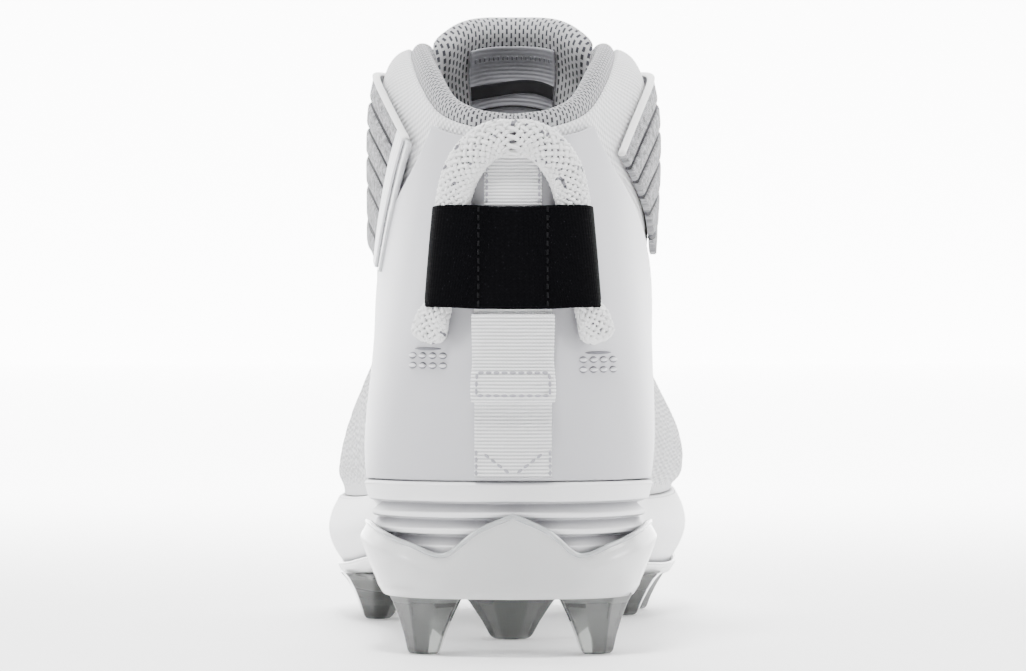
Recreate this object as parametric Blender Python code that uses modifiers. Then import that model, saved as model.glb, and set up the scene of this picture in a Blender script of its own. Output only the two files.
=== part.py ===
"""Left american football cleat: studded plate, foam midsole, hollow ankle-high upper,
heel shell, padded collar, tongue, laces, ankle strap and heel pull.

Metres, +X toward the toe, +Y toward the lateral side, +Z up, stud tips on z = 0.
"""
import bpy
import bmesh
import numpy as np
from math import cos, pi, sin

# Named sizes of the shoe
SOLE_LENGTH = 0.302
BALL_WIDTH = 0.110
ANKLE_HEIGHT = 0.168
INSTEP_BULGE = 0.18

# Walls and clearances
GAP = 0.0003
UPPER_WALL = 0.0020
SHELL_WALL = 0.0016
SHELL_OFF = 0.0006
CUP_GAP = 0.0006
PLATE_WALL = 0.0016
PLATE_THICK = 0.0024
RIM_LAND = 0.0034
PLATE_LIP = 0.0012
HEEL_LIP = 0.0030
BALL_LIP = 0.0014

# Side ribs of the midsole
RIB_DEPTH = 0.0011
RIB_HALF = 0.0010
RIB_HEIGHTS = (0.0325, 0.0370, 0.0413)
RIB_FADE = (0.16, 0.36)

# Studs
STUD_TIP = (0.0052, 0.0045)
STUD_BASE = (0.0112, 0.0094)
STUD_ROOT = 0.0010
STUD_SIDES = 12
ROUND_SIDES = 8

# Eyelets and laces
EYELET_PAIRS = 5
EYELET_FROM = 6.8
EYELET_TO = 9.3
EYELET_OUT = 0.56
EYELET_RADIUS = 0.0022
LACE_HALF_WIDTH = 0.0034
LACE_HALF_THICK = 0.0008
LACE_STEP = 0.0006
LACE_TURN = 0.0042
LACE_SECTION = ((1.0, 0.0), (0.8, 1.0), (-0.8, 1.0), (-1.0, 0.0), (-0.8, -1.0), (0.8, -1.0))

# Collar roll, tongue and strap
ROLL_HALF_WIDTH = 0.0030
ROLL_HALF_HEIGHT = 0.0048
ROLL_LIFT = 0.0006
ROLL_END = 4.95
TONGUE_THICK = 0.0040
TONGUE_SINK = 0.0014
TONGUE_TOP_THICK = 0.0066
TONGUE_HALF_WIDTH = 0.0265
TONGUE_NECK = 0.0215
TONGUE_FRONT = 10.9
TONGUE_BACK = 6.2
TONGUE_WIDEN = 1.4
TONGUE_COLUMNS = 11
TONGUE_RISE = (0.2, 0.4, 0.6, 0.8, 0.93, 1.0)
TONGUE_RIM = 0.5
TONGUE_TOP = (0.1150, 0.1760)
TONGUE_TOP_HALF = 0.0240
TONGUE_TOP_WRAP = 0.0110
TONGUE_TOP_ROUND = 0.0085
STRAP_THICK = 0.0024
TIP_LENGTH = 0.0035

# Heel pull
TAB_WIDTH = 0.0192
TAB_THICK = 0.0012
TAB_NARROW = 0.72
TAB_FROM = 0.0495
TAB_TO = 0.1320
BAND_FROM = 0.0920
BAND_TO = 0.1190
BAND_THICK = 0.0012
CORD_HALF_THICK = 0.0024
CORD_REST = 0.008

# Heel shell's lower and upper edge in shares of the skin's height
SHELL_FOOT = 0.012
SHELL_TOP = 0.980

# Share of the skin's height that one step of out spans beside the throat
SIDE_PER_OUT = 1.4

LAST_ROW = 14
LOOP = 2 * LAST_ROW


def table(names, rows):
    """Short table with named columns: one array per column."""
    return {name: np.array(column) for name, column in zip(names.split(), zip(*rows))}


# Sole outline from heel (first row) to toe (last row), both sides of the foot's line;
# along is a share of SOLE_LENGTH, out a share of BALL_WIDTH
OUTLINE = table("lat_along lat_out med_along med_out", [
    (0.0000, 0.000, 0.0000, 0.000),
    (0.0186, 0.182, 0.0186, 0.176),
    (0.0695, 0.315, 0.0695, 0.300),
    (0.1390, 0.366, 0.1390, 0.345),
    (0.2500, 0.362, 0.2500, 0.336),
    (0.3600, 0.370, 0.3600, 0.308),
    (0.4700, 0.405, 0.4700, 0.300),
    (0.5700, 0.460, 0.5700, 0.345),
    (0.6600, 0.503, 0.6600, 0.425),
    (0.7400, 0.500, 0.7450, 0.478),
    (0.8200, 0.452, 0.8250, 0.474),
    (0.8920, 0.366, 0.8970, 0.422),
    (0.9480, 0.245, 0.9500, 0.335),
    (0.9860, 0.095, 0.9870, 0.215),
    (1.0000, -0.065, 1.0000, 0.065),
])

# Sole heights by place along the shoe, in metres above the floor
SOLE = table("along plate bed rim", [
    (0.00, 0.0156, 0.0300, 0.0470),
    (0.12, 0.0156, 0.0295, 0.0465),
    (0.30, 0.0165, 0.0270, 0.0425),
    (0.45, 0.0175, 0.0250, 0.0390),
    (0.60, 0.0135, 0.0235, 0.0365),
    (0.72, 0.0120, 0.0230, 0.0365),
    (0.85, 0.0155, 0.0260, 0.0390),
    (0.94, 0.0210, 0.0310, 0.0420),
    (1.00, 0.0265, 0.0350, 0.0445),
])

# How far the midsole side stands in from the outline, by share of its height
SIDE = table("share heel ball", [
    (0.00, 0.0088, 0.0052),
    (0.25, 0.0060, 0.0017),
    (0.50, 0.0036, 0.0000),
    (0.75, 0.0018, 0.0008),
    (1.00, 0.0000, 0.0034),
])

# Insole's edge: in from its rim and up from its underside
INSOLE_EDGE = table("inset up", [
    (0.0000, 0.0000),
    (0.0000, 0.0057),
    (0.0020, 0.0055),
    (0.0080, 0.0045),
])

# Stud profile: share of its height and size in shares of the tip's, up to the root
STUD_RINGS = table("share spread", [
    (0.00, 0.86),
    (0.07, 1.00),
    (0.55, 1.30),
])

# Outline row where the heel shell ends, by share of its height
SHELL_EDGE = table("share row", [
    (0.00, 4.30),
    (0.30, 3.90),
    (0.60, 3.15),
    (0.85, 2.35),
    (1.00, 1.85),
])

# Top line of the plate's heel cup, by outline row
CUP = table("row top", [
    (0.00, 0.0385),
    (0.45, 0.0345),
    (0.95, 0.0280),
    (1.60, 0.0305),
    (2.20, 0.0332),
    (3.00, 0.0354),
    (4.00, 0.0300),
    (5.00, 0.0235),
])

# Upper, one rib of its skin per outline row: the rim it rises to and its handles.
# along is a share of SOLE_LENGTH; mid, half, flare, waist and crown are shares of
# BALL_WIDTH; up, rise and drop are shares of ANKLE_HEIGHT; lean is a share of the rib's
# plan run
RIBS = table("along mid half up rise flare_lat flare_med waist_lat waist_med"
             " lean crown drop", [
    (0.036, 0.000, 0.000, 0.827, 0.167, 0.055, 0.055, -0.010, -0.010, 0.00, 0.036, 0.208),
    (0.046, 0.000, 0.109, 0.836, 0.167, 0.055, 0.055, -0.020, -0.015, 0.00, 0.036, 0.208),
    (0.080, 0.000, 0.190, 0.860, 0.167, 0.060, 0.060, -0.070, -0.045, 0.00, 0.036, 0.220),
    (0.139, 0.000, 0.240, 0.912, 0.179, 0.055, 0.060, -0.130, -0.090, 0.00, 0.090, 0.140),
    (0.218, 0.000, 0.265, 0.966, 0.190, 0.020, 0.035, -0.130, -0.090, 0.00, 0.190, 0.045),
    (0.291, 0.000, 0.260, 0.976, 0.200, 0.020, 0.045, -0.120, -0.080, 0.00, 0.190, 0.045),
    (0.371, 0.000, 0.210, 0.893, 0.200, 0.025, 0.095, -0.080, -0.040, 0.10, 0.135, 0.110),
    (0.457, 0.000, 0.168, 0.744, 0.170, 0.020, 0.130, -0.030, 0.000, 0.35, 0.040, 0.095),
    (0.540, 0.000, 0.145, 0.622, 0.140, 0.020, 0.125, 0.000, 0.010, 0.50, 0.010, 0.050),
    (0.616, 0.000, 0.095, 0.545, 0.120, 0.015, 0.100, 0.000, 0.010, 0.55, 0.000, 0.030),
    (0.679, 0.000, 0.000, 0.500, 0.110, 0.015, 0.070, 0.000, 0.000, 0.58, 0.000, 0.015),
    (0.745, -0.010, 0.000, 0.455, 0.098, 0.012, 0.040, 0.000, 0.000, 0.60, 0.000, 0.010),
    (0.808, -0.025, 0.000, 0.417, 0.088, 0.010, 0.018, 0.000, 0.000, 0.60, 0.000, 0.008),
    (0.858, -0.038, 0.000, 0.390, 0.080, 0.010, 0.010, 0.000, 0.000, 0.60, 0.000, 0.006),
    (0.897, -0.050, 0.000, 0.370, 0.076, 0.010, 0.010, 0.000, 0.000, 0.60, 0.000, 0.005),
])

# Throat's front end in outline rows: from here on both sides meet on the centre line
THROAT_ROW = 10

# Ankle strap from its medial anchor (run -1) over the front (0) to its free end (1);
# row is an outline row, out runs from 0 at the centre through 0.5 at the throat edge
STRAP = table("run low_row low_out high_row high_out lift", [
    (-1.00, 3.80, 0.870, 2.65, 0.620, 0.0009),
    (-0.80, 4.10, 0.880, 3.55, 0.610, 0.0018),
    (-0.60, 4.65, 0.880, 4.55, 0.610, 0.0034),
    (-0.38, 5.75, 0.780, 5.55, 0.540, 0.0062),
    (-0.18, 6.85, 0.480, 6.10, 0.300, 0.0066),
    (0.00, 7.35, 0.000, 6.30, 0.000, 0.0064),
    (0.18, 6.85, 0.480, 6.10, 0.300, 0.0066),
    (0.38, 5.75, 0.780, 5.55, 0.540, 0.0064),
    (0.60, 4.65, 0.880, 4.55, 0.610, 0.0040),
    (0.80, 4.05, 0.880, 3.50, 0.610, 0.0042),
    (1.00, 3.45, 0.880, 2.70, 0.630, 0.0050),
])

# Studs: place of the tip in shares of SOLE_LENGTH and BALL_WIDTH, turn in degrees, and
# how far the root leans from the tip toward the plate's middle, in shares of BALL_WIDTH
STUDS = table("along out turn root_along root_out", [
    (0.099, 0.218, 35.0, 0.025, -0.025),
    (0.099, -0.205, -35.0, 0.025, 0.025),
    (0.298, 0.005, 0.0, 0.000, 0.000),
    (0.606, 0.368, 8.0, 0.000, -0.022),
    (0.712, 0.380, 0.0, 0.000, -0.018),
    (0.818, 0.300, -25.0, -0.015, -0.018),
    (0.668, -0.305, -8.0, 0.000, 0.015),
    (0.770, -0.335, 10.0, 0.000, 0.018),
    (0.872, -0.260, 30.0, -0.015, 0.018),
    (0.735, 0.020, 90.0, 0.000, 0.000),
])

# Pull cord over the heel, lateral half from the slit up: metres from the centre and the
# floor, and half the width of the cord there, pressed narrow inside the band
CORD = table("out up half", [
    (0.0198, 0.0835, 0.0050),
    (0.0186, 0.0890, 0.0048),
    (0.0172, 0.0935, 0.0040),
    (0.0148, 0.1060, 0.0043),
    (0.0125, 0.1190, 0.0050),
    (0.0103, 0.1285, 0.0052),
    (0.0058, 0.1350, 0.0050),
    (0.0000, 0.1368, 0.0050),
])

# Elastic band over the cord: each column of the band stands at a share of the cord's
# distance from the centre plus a share of its half width; off in metres from the shell
BAND = table("share width off", [
    (0.00, 0.00, 0.0018),
    (0.35, 0.00, 0.0020),
    (1.00, -1.50, 0.0030),
    (1.00, -1.00, 0.0044),
    (1.00, -0.50, 0.0051),
    (1.00, 0.00, 0.0053),
    (1.00, 0.50, 0.0051),
    (1.00, 0.96, 0.0042),
    (1.00, 1.12, 0.0024),
    (1.00, 1.16, 0.0008),
])

# Looks: base colour, roughness and how clear
LOOKS = {
    "outsole_plate": ((0.80, 0.83, 0.84, 1.0), 0.25, 0.5),
    "midsole": ((0.86, 0.86, 0.85, 1.0), 0.6, 0.0),
    "insole": ((0.70, 0.70, 0.70, 1.0), 0.9, 0.0),
    "upper": ((0.83, 0.83, 0.82, 1.0), 0.85, 0.0),
    "heel_shell": ((0.88, 0.88, 0.87, 1.0), 0.5, 0.0),
    "collar_roll": ((0.72, 0.72, 0.72, 1.0), 0.9, 0.0),
    "tongue": ((0.76, 0.76, 0.76, 1.0), 0.9, 0.0),
    "laces": ((0.86, 0.86, 0.86, 1.0), 0.8, 0.0),
    "strap": ((0.45, 0.45, 0.46, 1.0), 0.85, 0.0),
    "strap_tip": ((0.75, 0.76, 0.78, 1.0), 0.3, 0.4),
    "heel_webbing": ((0.87, 0.87, 0.86, 1.0), 0.85, 0.0),
    "pull_cord": ((0.82, 0.82, 0.81, 1.0), 0.85, 0.0),
    "elastic_band": ((0.03, 0.03, 0.03, 1.0), 0.8, 0.0),
}


def smooth_step(low, high, value):
    """0 below low, 1 above high, an even turn between."""
    share = min(max((value - low) / (high - low), 0.0), 1.0)
    return share * share * (3.0 - 2.0 * share)


def curve_at(places, values, place):
    """Smooth curve through a table's column, flat beyond both ends."""
    place = min(max(place, places[0]), places[-1])
    i = min(int(np.searchsorted(places, place, side="right")) - 1, len(places) - 2)
    slopes = np.gradient(values, places)
    width = places[i + 1] - places[i]
    t = (place - places[i]) / width
    return ((2 * t ** 3 - 3 * t ** 2 + 1) * values[i]
            + (t ** 3 - 2 * t ** 2 + t) * width * slopes[i]
            + (3 * t ** 2 - 2 * t ** 3) * values[i + 1]
            + (t ** 3 - t ** 2) * width * slopes[i + 1])


def around(lateral, medial):
    """Closed run of values: heel, lateral side, toe, medial side, back to the heel."""
    return np.array(list(lateral) + list(medial[-2:0:-1]))


def loop_at(values, place):
    """Smooth closed curve through a run of values, by outline row."""
    i = int(np.floor(place))
    t = place - i
    a, b, c, d = (values[(i + k) % LOOP] for k in (-1, 0, 1, 2))
    return b + 0.5 * t * ((c - a) + t * ((2 * a - 5 * b + 4 * c - d)
                                         + t * (3 * (b - c) + d - a)))


EDGE_X = SOLE_LENGTH * around(OUTLINE["lat_along"], OUTLINE["med_along"])
EDGE_Y = BALL_WIDTH * around(OUTLINE["lat_out"], -OUTLINE["med_out"])
RIB_LOOPS = {name: around(column, column) for name, column in RIBS.items()}
RIB_LOOPS["flare"] = around(RIBS["flare_lat"], RIBS["flare_med"])
RIB_LOOPS["waist"] = around(RIBS["waist_lat"], RIBS["waist_med"])


def row_of(place):
    """Outline row, heel 0 to toe 14, of a place on the loop."""
    place = place % LOOP
    return min(place, LOOP - place)


def side_of(place):
    """1 on the lateral half of the loop, -1 on the medial half."""
    return 1.0 if place % LOOP <= LAST_ROW else -1.0


def edge(place, inset=0.0):
    """Point of the sole outline, moved in toward the foot, with its outward direction."""
    step = 0.01
    x, y = loop_at(EDGE_X, place), loop_at(EDGE_Y, place)
    run_x = loop_at(EDGE_X, place + step) - loop_at(EDGE_X, place - step)
    run_y = loop_at(EDGE_Y, place + step) - loop_at(EDGE_Y, place - step)
    size = np.hypot(run_x, run_y)
    out = np.array((-run_y / size, run_x / size))
    return np.array((x, y)) - inset * out, out


def level(name, x):
    """Height of a line of the sole at a place along the shoe."""
    return curve_at(SOLE["along"], SOLE[name], x / SOLE_LENGTH)


def ball_share(x):
    """0 at the heel, 1 in the forefoot."""
    return smooth_step(0.28, 0.55, x / SOLE_LENGTH)


def side_inset(x, share):
    """How far in the midsole side stands at a share of its height."""
    heel = curve_at(SIDE["share"], SIDE["heel"], share)
    ball = curve_at(SIDE["share"], SIDE["ball"], share)
    return heel + (ball - heel) * ball_share(x)


def base_inset(x):
    """How far in from the outline the upper's lower edge stands."""
    lip = HEEL_LIP + (BALL_LIP - HEEL_LIP) * ball_share(x)
    return side_inset(x, 1.0) + lip


def rim_fall(row):
    """Fall of the throat and vamp line toward the toe, as rise over run."""
    row = max(row, 6.0)
    ahead, back = row, row - 0.4
    run = loop_at(RIB_LOOPS["along"], ahead) - loop_at(RIB_LOOPS["along"], back)
    drop = loop_at(RIB_LOOPS["up"], back) - loop_at(RIB_LOOPS["up"], ahead)
    return drop * ANKLE_HEIGHT / (run * SOLE_LENGTH)


def skin(place, v):
    """Upper's outer face: v 0 at the sole, 1 at the collar, throat or centre line."""
    row = row_of(place)
    rough, _ = edge(place)
    (bx, by), out = edge(place, base_inset(rough[0]))
    base = np.array((bx, by, level("rim", rough[0]) + GAP))
    at = {name: loop_at(run, place) for name, run in RIB_LOOPS.items()}
    half = max(at["half"], 0.0) if row < THROAT_ROW else 0.0
    rim = np.array((at["along"] * SOLE_LENGTH,
                    (at["mid"] + side_of(place) * half) * BALL_WIDTH,
                    at["up"] * ANKLE_HEIGHT))
    flat_out = np.array((out[0], out[1], 0.0))
    run = np.array((base[0] - rim[0], base[1] - rim[1], 0.0))
    low = base + flat_out * at["flare"] * BALL_WIDTH
    low[2] += at["rise"] * ANKLE_HEIGHT
    high = rim + run * at["lean"] + flat_out * at["crown"] * BALL_WIDTH
    fall = rim_fall(row) * (0.5 + 0.5 * smooth_step(7.0, THROAT_ROW, row))
    high[2] -= at["drop"] * ANKLE_HEIGHT + fall * max(run[0], 0.0) * at["lean"]
    w = 1.0 - v
    waist = flat_out * at["waist"] * BALL_WIDTH
    return (w ** 3 * base + 3 * w * w * v * low + 3 * w * v * v * high + v ** 3 * rim
            + 6 * w * w * v * v * waist)


def skin_normal(place, v):
    """Outward direction of the upper's outer face."""
    step = 0.02
    low, high = max(v - step, 0.0), min(v + step, 1.0)
    along = skin(place + step, v) - skin(place - step, v)
    up = skin(place, high) - skin(place, low)
    normal = np.cross(up, along)
    return normal / np.linalg.norm(normal)


def skin_off(place, v, off):
    """Point a given distance off the upper's outer face."""
    return skin(place, v) + off * skin_normal(place, v)


def side_height(reach):
    """Share of the skin's height at a distance out beside the throat."""
    return 1.0 - (reach - 0.5) * SIDE_PER_OUT


def cover(row, out, off):
    """Face over foot and throat: out 0 at the centre, 0.5 at the throat edge, then down
    the side; positive out is lateral."""
    place = row if out >= 0 else LOOP - row
    reach = abs(out)
    if reach >= 0.5:
        return skin_off(place, side_height(reach), off)
    lateral, medial = skin(row, 1.0), skin(LOOP - row, 1.0)
    chord = medial + (lateral - medial) * (out + 0.5)
    slope = skin(row + 0.1, 1.0) - skin(row - 0.1, 1.0)
    rise = np.array((-slope[2], 0.0, slope[0]))
    rise /= np.linalg.norm(rise)
    middle = 1.0 - (2.0 * out) ** 2
    normal = rise * middle + skin_normal(place, 1.0) * (1.0 - middle)
    normal /= np.linalg.norm(normal)
    bulge = INSTEP_BULGE * np.linalg.norm(lateral - medial)
    return chord + rise * bulge * middle + normal * off


def heel_place(out, up):
    """Loop place and v of the heel face at a distance from the centre and a height."""
    want = np.array((out, up))
    step = 0.01
    place, v = 60.0 * out, 0.5
    for _ in range(12):
        miss = want - skin(place, v)[1:]
        if np.abs(miss).max() < 0.000001:
            break
        by_place = (skin(place + step, v) - skin(place - step, v))[1:] / (2.0 * step)
        by_v = (skin(place, v + step) - skin(place, v - step))[1:] / (2.0 * step)
        move = np.linalg.solve(np.array((by_place, by_v)).T, miss)
        place += float(np.clip(move[0], -0.8, 0.8))
        v = float(np.clip(v + move[1], 0.02, 0.98))
    return place, v


def heel_off(out, up, off):
    """Point off the heel face, found by distance from the centre and height."""
    place, v = heel_place(out, up)
    return skin_off(place, v, off)


def stations(fine_rows, fine, coarse):
    """Rows from heel to toe, closer together round the heel."""
    near = [i / fine for i in range(fine_rows * fine)]
    far = [fine_rows + i / coarse for i in range((LAST_ROW - fine_rows) * coarse + 1)]
    return near + far


def loop_of(rows):
    """Places round the whole loop from the rows of one side."""
    return rows + [LOOP - row for row in rows[-2:0:-1]]


def new_object(name, bm):
    """Object with outward faces in the part's collection and its own material."""
    bmesh.ops.recalc_face_normals(bm, faces=bm.faces)
    mesh = bpy.data.meshes.new(name)
    bm.to_mesh(mesh)
    bm.free()
    obj = bpy.data.objects.new(name, mesh)
    PARTS.objects.link(obj)
    colour, rough, clear = LOOKS[name]
    material = bpy.data.materials.new(name + "_look")
    material.use_nodes = True
    shader = material.node_tree.nodes["Principled BSDF"]
    shader.inputs["Base Color"].default_value = colour
    shader.inputs["Roughness"].default_value = rough
    shader.inputs["Transmission Weight"].default_value = clear
    mesh.materials.append(material)
    return obj


def ring_solid(name, columns, rows):
    """Closed solid from a ring of profiles, its two ends closed across the foot."""
    bm = bmesh.new()
    grid = [[bm.verts.new(point) for point in column] for column in columns]
    count = len(grid)
    for i in range(count):
        a, b = grid[i], grid[(i + 1) % count]
        for j in range(len(a) - 1):
            bm.faces.new((a[j], a[j + 1], b[j + 1], b[j]))
    last = rows - 1
    for end in (0, -1):
        for i in range(last):
            ring = [grid[i][end], grid[i + 1][end]]
            ring += [grid[(count - i - 1) % count][end], grid[(count - i) % count][end]]
            distinct = [v for k, v in enumerate(ring) if v not in ring[:k]]
            bm.faces.new(distinct)
    return new_object(name, bm)


def slab(name, outer, inner):
    """Closed solid between two grids of points of the same size."""
    bm = bmesh.new()
    top = [[bm.verts.new(p) for p in line] for line in outer]
    low = [[bm.verts.new(p) for p in line] for line in inner]
    m, n = len(top), len(top[0])
    for i in range(m - 1):
        for j in range(n - 1):
            bm.faces.new((top[i][j], top[i + 1][j], top[i + 1][j + 1], top[i][j + 1]))
            bm.faces.new((low[i][j], low[i][j + 1], low[i + 1][j + 1], low[i + 1][j]))
    for i in range(m - 1):
        for j in (0, n - 1):
            bm.faces.new((top[i][j], top[i + 1][j], low[i + 1][j], low[i][j]))
    for j in range(n - 1):
        for i in (0, m - 1):
            bm.faces.new((top[i][j], top[i][j + 1], low[i][j + 1], low[i][j]))
    return new_object(name, bm)


def tube(name, path, sides_of):
    """Closed tube along a path; sides_of gives each ring's points."""
    return new_object(name, loft([sides_of(i, point) for i, point in enumerate(path)]))


def loft(rings):
    """Closed mesh through rings of points, the first and last ring capped."""
    bm = bmesh.new()
    loops = [[bm.verts.new(p) for p in ring] for ring in rings]
    for a, b in zip(loops, loops[1:]):
        for j in range(len(a)):
            k = (j + 1) % len(a)
            bm.faces.new((a[j], a[k], b[k], b[j]))
    bm.faces.new(loops[0])
    bm.faces.new(loops[-1])
    return bm


def helper(name, rings):
    """Working solid for a Boolean, lofted through rings and kept out of sight."""
    bm = loft(rings)
    bmesh.ops.recalc_face_normals(bm, faces=bm.faces)
    mesh = bpy.data.meshes.new(name)
    bm.to_mesh(mesh)
    bm.free()
    obj = bpy.data.objects.new(name, mesh)
    obj.hide_render = True
    obj.display_type = "WIRE"
    CUTTERS.objects.link(obj)
    return obj


def disc(centre, normal, radius):
    """Ring of points about a centre, square to a direction."""
    across = np.cross(normal, (0.0, 1.0, 0.0))
    across /= np.linalg.norm(across)
    other = np.cross(normal, across)
    return [centre + radius * (across * cos(a) + other * sin(a))
            for a in np.linspace(0.0, 2.0 * pi, ROUND_SIDES, endpoint=False)]


def cut_or_join(obj, other, how):
    """One exact Boolean with a helper, applied."""
    step = obj.modifiers.new(how, "BOOLEAN")
    step.operation = how
    step.solver = "EXACT"
    step.object = other
    apply_modifiers(obj)


def apply_modifiers(obj):
    """Replace the mesh by its evaluated self."""
    bpy.context.view_layer.update()
    graph = bpy.context.evaluated_depsgraph_get()
    mesh = bpy.data.meshes.new_from_object(obj.evaluated_get(graph))
    old = obj.data
    obj.modifiers.clear()
    obj.data = mesh
    bpy.data.meshes.remove(old)


def build_midsole():
    """Foam cup: ribbed side, flat land for the upper and a recess for the insole."""
    rows = stations(4, 3, 2)
    columns = []
    for place in loop_of(rows):
        rough, _ = edge(place)
        x = rough[0]
        low = level("plate", x) + PLATE_THICK + GAP
        high = level("rim", x)
        fade = 1.0 - smooth_step(RIB_FADE[0], RIB_FADE[1], x / SOLE_LENGTH)
        heel_high = SOLE["rim"][0]
        heel_low = SOLE["plate"][0] + PLATE_THICK + GAP
        shares = [(0.0, 0.0), (0.16, 0.0), (0.32, 0.0)]
        for centre in RIB_HEIGHTS:
            for shift, depth in ((-RIB_HALF, 0.0), (0.0, RIB_DEPTH), (RIB_HALF, 0.0)):
                share = (centre + shift - heel_low) / (heel_high - heel_low)
                shares.append((share, depth))
        shares += [(0.94, 0.0), (1.0, 0.0)]
        column = []
        for share, depth in shares:
            point, _ = edge(place, side_inset(x, share) + depth * fade)
            column.append((point[0], point[1], low + (high - low) * share))
        inset = base_inset(x) + UPPER_WALL + RIM_LAND
        point, _ = edge(place, inset)
        column.append((point[0], point[1], high))
        column.append((point[0], point[1], level("bed", x)))
        columns.append(column)
    return ring_solid("midsole", columns, len(rows))


def build_insole():
    """Loose footbed with a slightly raised edge."""
    rows = stations(4, 2, 2)
    columns = []
    for place in loop_of(rows):
        x = edge(place)[0][0]
        inset = base_inset(x) + UPPER_WALL + RIM_LAND + GAP
        low = level("bed", x) + GAP
        column = []
        for more, up in zip(*INSOLE_EDGE.values()):
            point, _ = edge(place, inset + more)
            column.append((point[0], point[1], low + up))
        columns.append(column)
    return ring_solid("insole", columns, len(rows))


def cup_top(place, bed):
    """Top line of the plate's cup or low lip."""
    row = row_of(place)
    lip = bed + PLATE_LIP
    if row >= CUP["row"][-1]:
        return lip
    return max(curve_at(CUP["row"], CUP["top"], row), lip)


def build_plate():
    """Plate with its heel cup, studs joined on."""
    rows = stations(4, 3, 2)
    columns = []
    for place in loop_of(rows):
        x = edge(place)[0][0]
        low = level("plate", x)
        bed = low + PLATE_THICK
        foam_low = bed + GAP
        foam_high = level("rim", x)
        top = cup_top(place, bed)

        def side(up, off):
            share = max((up - foam_low) / (foam_high - foam_low), 0.0)
            point, _ = edge(place, side_inset(x, share) - off)
            return (point[0], point[1], up)

        middle = 0.5 * (bed + top)
        outer = CUP_GAP + PLATE_WALL
        under, _ = edge(place, side_inset(x, 0.0) - 0.5 * PLATE_WALL)
        columns.append([(under[0], under[1], low), side(bed, outer), side(middle, outer),
                        side(top, outer), side(top, CUP_GAP),
                        side(middle, CUP_GAP), side(bed, CUP_GAP)])
    plate = ring_solid("outsole_plate", columns, len(rows))
    for along, out, turn, ahead, aside in zip(*STUDS.values()):
        lean = (ahead * BALL_WIDTH, aside * BALL_WIDTH)
        stud = build_stud(along * SOLE_LENGTH, out * BALL_WIDTH, turn * pi / 180.0, lean)
        cut_or_join(plate, stud, "UNION")
        bpy.data.objects.remove(stud)
    return plate


def build_stud(x, y, turn, lean):
    """Tapered oval stud from the floor into the plate, its root leaning inward."""
    root = level("plate", x) + STUD_ROOT
    sizes = [(share, STUD_TIP[0] * spread, STUD_TIP[1] * spread)
             for share, spread in zip(*STUD_RINGS.values())]
    sizes.append((1.0, STUD_BASE[0], STUD_BASE[1]))
    rings = []
    for share, half_x, half_y in sizes:
        ring = []
        for a in np.linspace(0.0, 2.0 * pi, STUD_SIDES, endpoint=False):
            px, py = half_x * cos(a), half_y * sin(a)
            at_x = x + lean[0] * share + px * cos(turn) - py * sin(turn)
            at_y = y + lean[1] * share + px * sin(turn) + py * cos(turn)
            up = level("plate", at_x) + STUD_ROOT if share == 1.0 else root * share
            ring.append((at_x, at_y, up))
        rings.append(ring)
    return helper("stud", rings)


def build_upper():
    """Hollow upper: both sides joined on the vamp's centre line, then given its wall."""
    rows = stations(LAST_ROW, 3, 3)
    steps = 9
    bm = bmesh.new()
    places = loop_of(rows)
    grid = [[bm.verts.new(skin(place, j / steps)) for j in range(steps + 1)]
            for place in places]
    count = len(grid)
    for i in range(count):
        a, b = grid[i], grid[(i + 1) % count]
        for j in range(steps):
            bm.faces.new((a[j], a[j + 1], b[j + 1], b[j]))
    bmesh.ops.remove_doubles(bm, verts=bm.verts, dist=0.00005)
    upper = new_object("upper", bm)
    wall = upper.modifiers.new("wall", "SOLIDIFY")
    wall.thickness = UPPER_WALL
    wall.offset = -1.0
    wall.use_even_offset = True
    wall.use_quality_normals = True
    apply_modifiers(upper)
    return upper


def eyelets():
    """Row and v of each eyelet from the front of the throat to the top."""
    return np.linspace(EYELET_TO, EYELET_FROM, EYELET_PAIRS)


def punch_eyelets(upper):
    """Round holes through the upper beside the throat."""
    for row in eyelets():
        for side in (1.0, -1.0):
            centre = cover(row, side * EYELET_OUT, 0.0)
            place = row if side > 0 else LOOP - row
            normal = skin_normal(place, side_height(EYELET_OUT))
            ends = (centre - normal * 2.2 * UPPER_WALL, centre + normal * 1.2 * UPPER_WALL)
            rings = [disc(end, normal, EYELET_RADIUS) for end in ends]
            cut_or_join(upper, helper("eyelet_cutter", rings), "DIFFERENCE")


def build_shell():
    """Heel shell cut from the upper's own face."""
    across, up = 24, 9
    outer, inner = [], []
    for i in range(across + 1):
        share = 2.0 * i / across - 1.0
        outer.append([])
        inner.append([])
        for j in range(up + 1):
            v = SHELL_FOOT + (SHELL_TOP - SHELL_FOOT) * j / up
            place = share * curve_at(SHELL_EDGE["share"], SHELL_EDGE["row"], j / up)
            outer[-1].append(skin_off(place, v, SHELL_OFF + SHELL_WALL))
            inner[-1].append(skin_off(place, v, SHELL_OFF))
    return slab("heel_shell", outer, inner)


def build_roll():
    """Padded roll inside the collar rim."""
    places = np.linspace(-ROLL_END, ROLL_END, 31)

    def ring(i, point):
        normal = skin_normal(places[i], 1.0)
        flat = np.array((normal[0], normal[1], 0.0))
        flat /= np.linalg.norm(flat)
        ends = min(i, len(places) - 1 - i)
        size = (0.55, 0.88, 1.0)[min(ends, 2)]
        centre = point - flat * (UPPER_WALL + GAP + ROLL_HALF_WIDTH) + (0, 0, ROLL_LIFT)
        return [centre + flat * ROLL_HALF_WIDTH * size * cos(a)
                + np.array((0.0, 0.0, ROLL_HALF_HEIGHT * size * sin(a)))
                for a in np.linspace(0.0, 2.0 * pi, ROUND_SIDES, endpoint=False)]

    return tube("collar_roll", [skin(p, 1.0) for p in places], ring)


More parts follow.
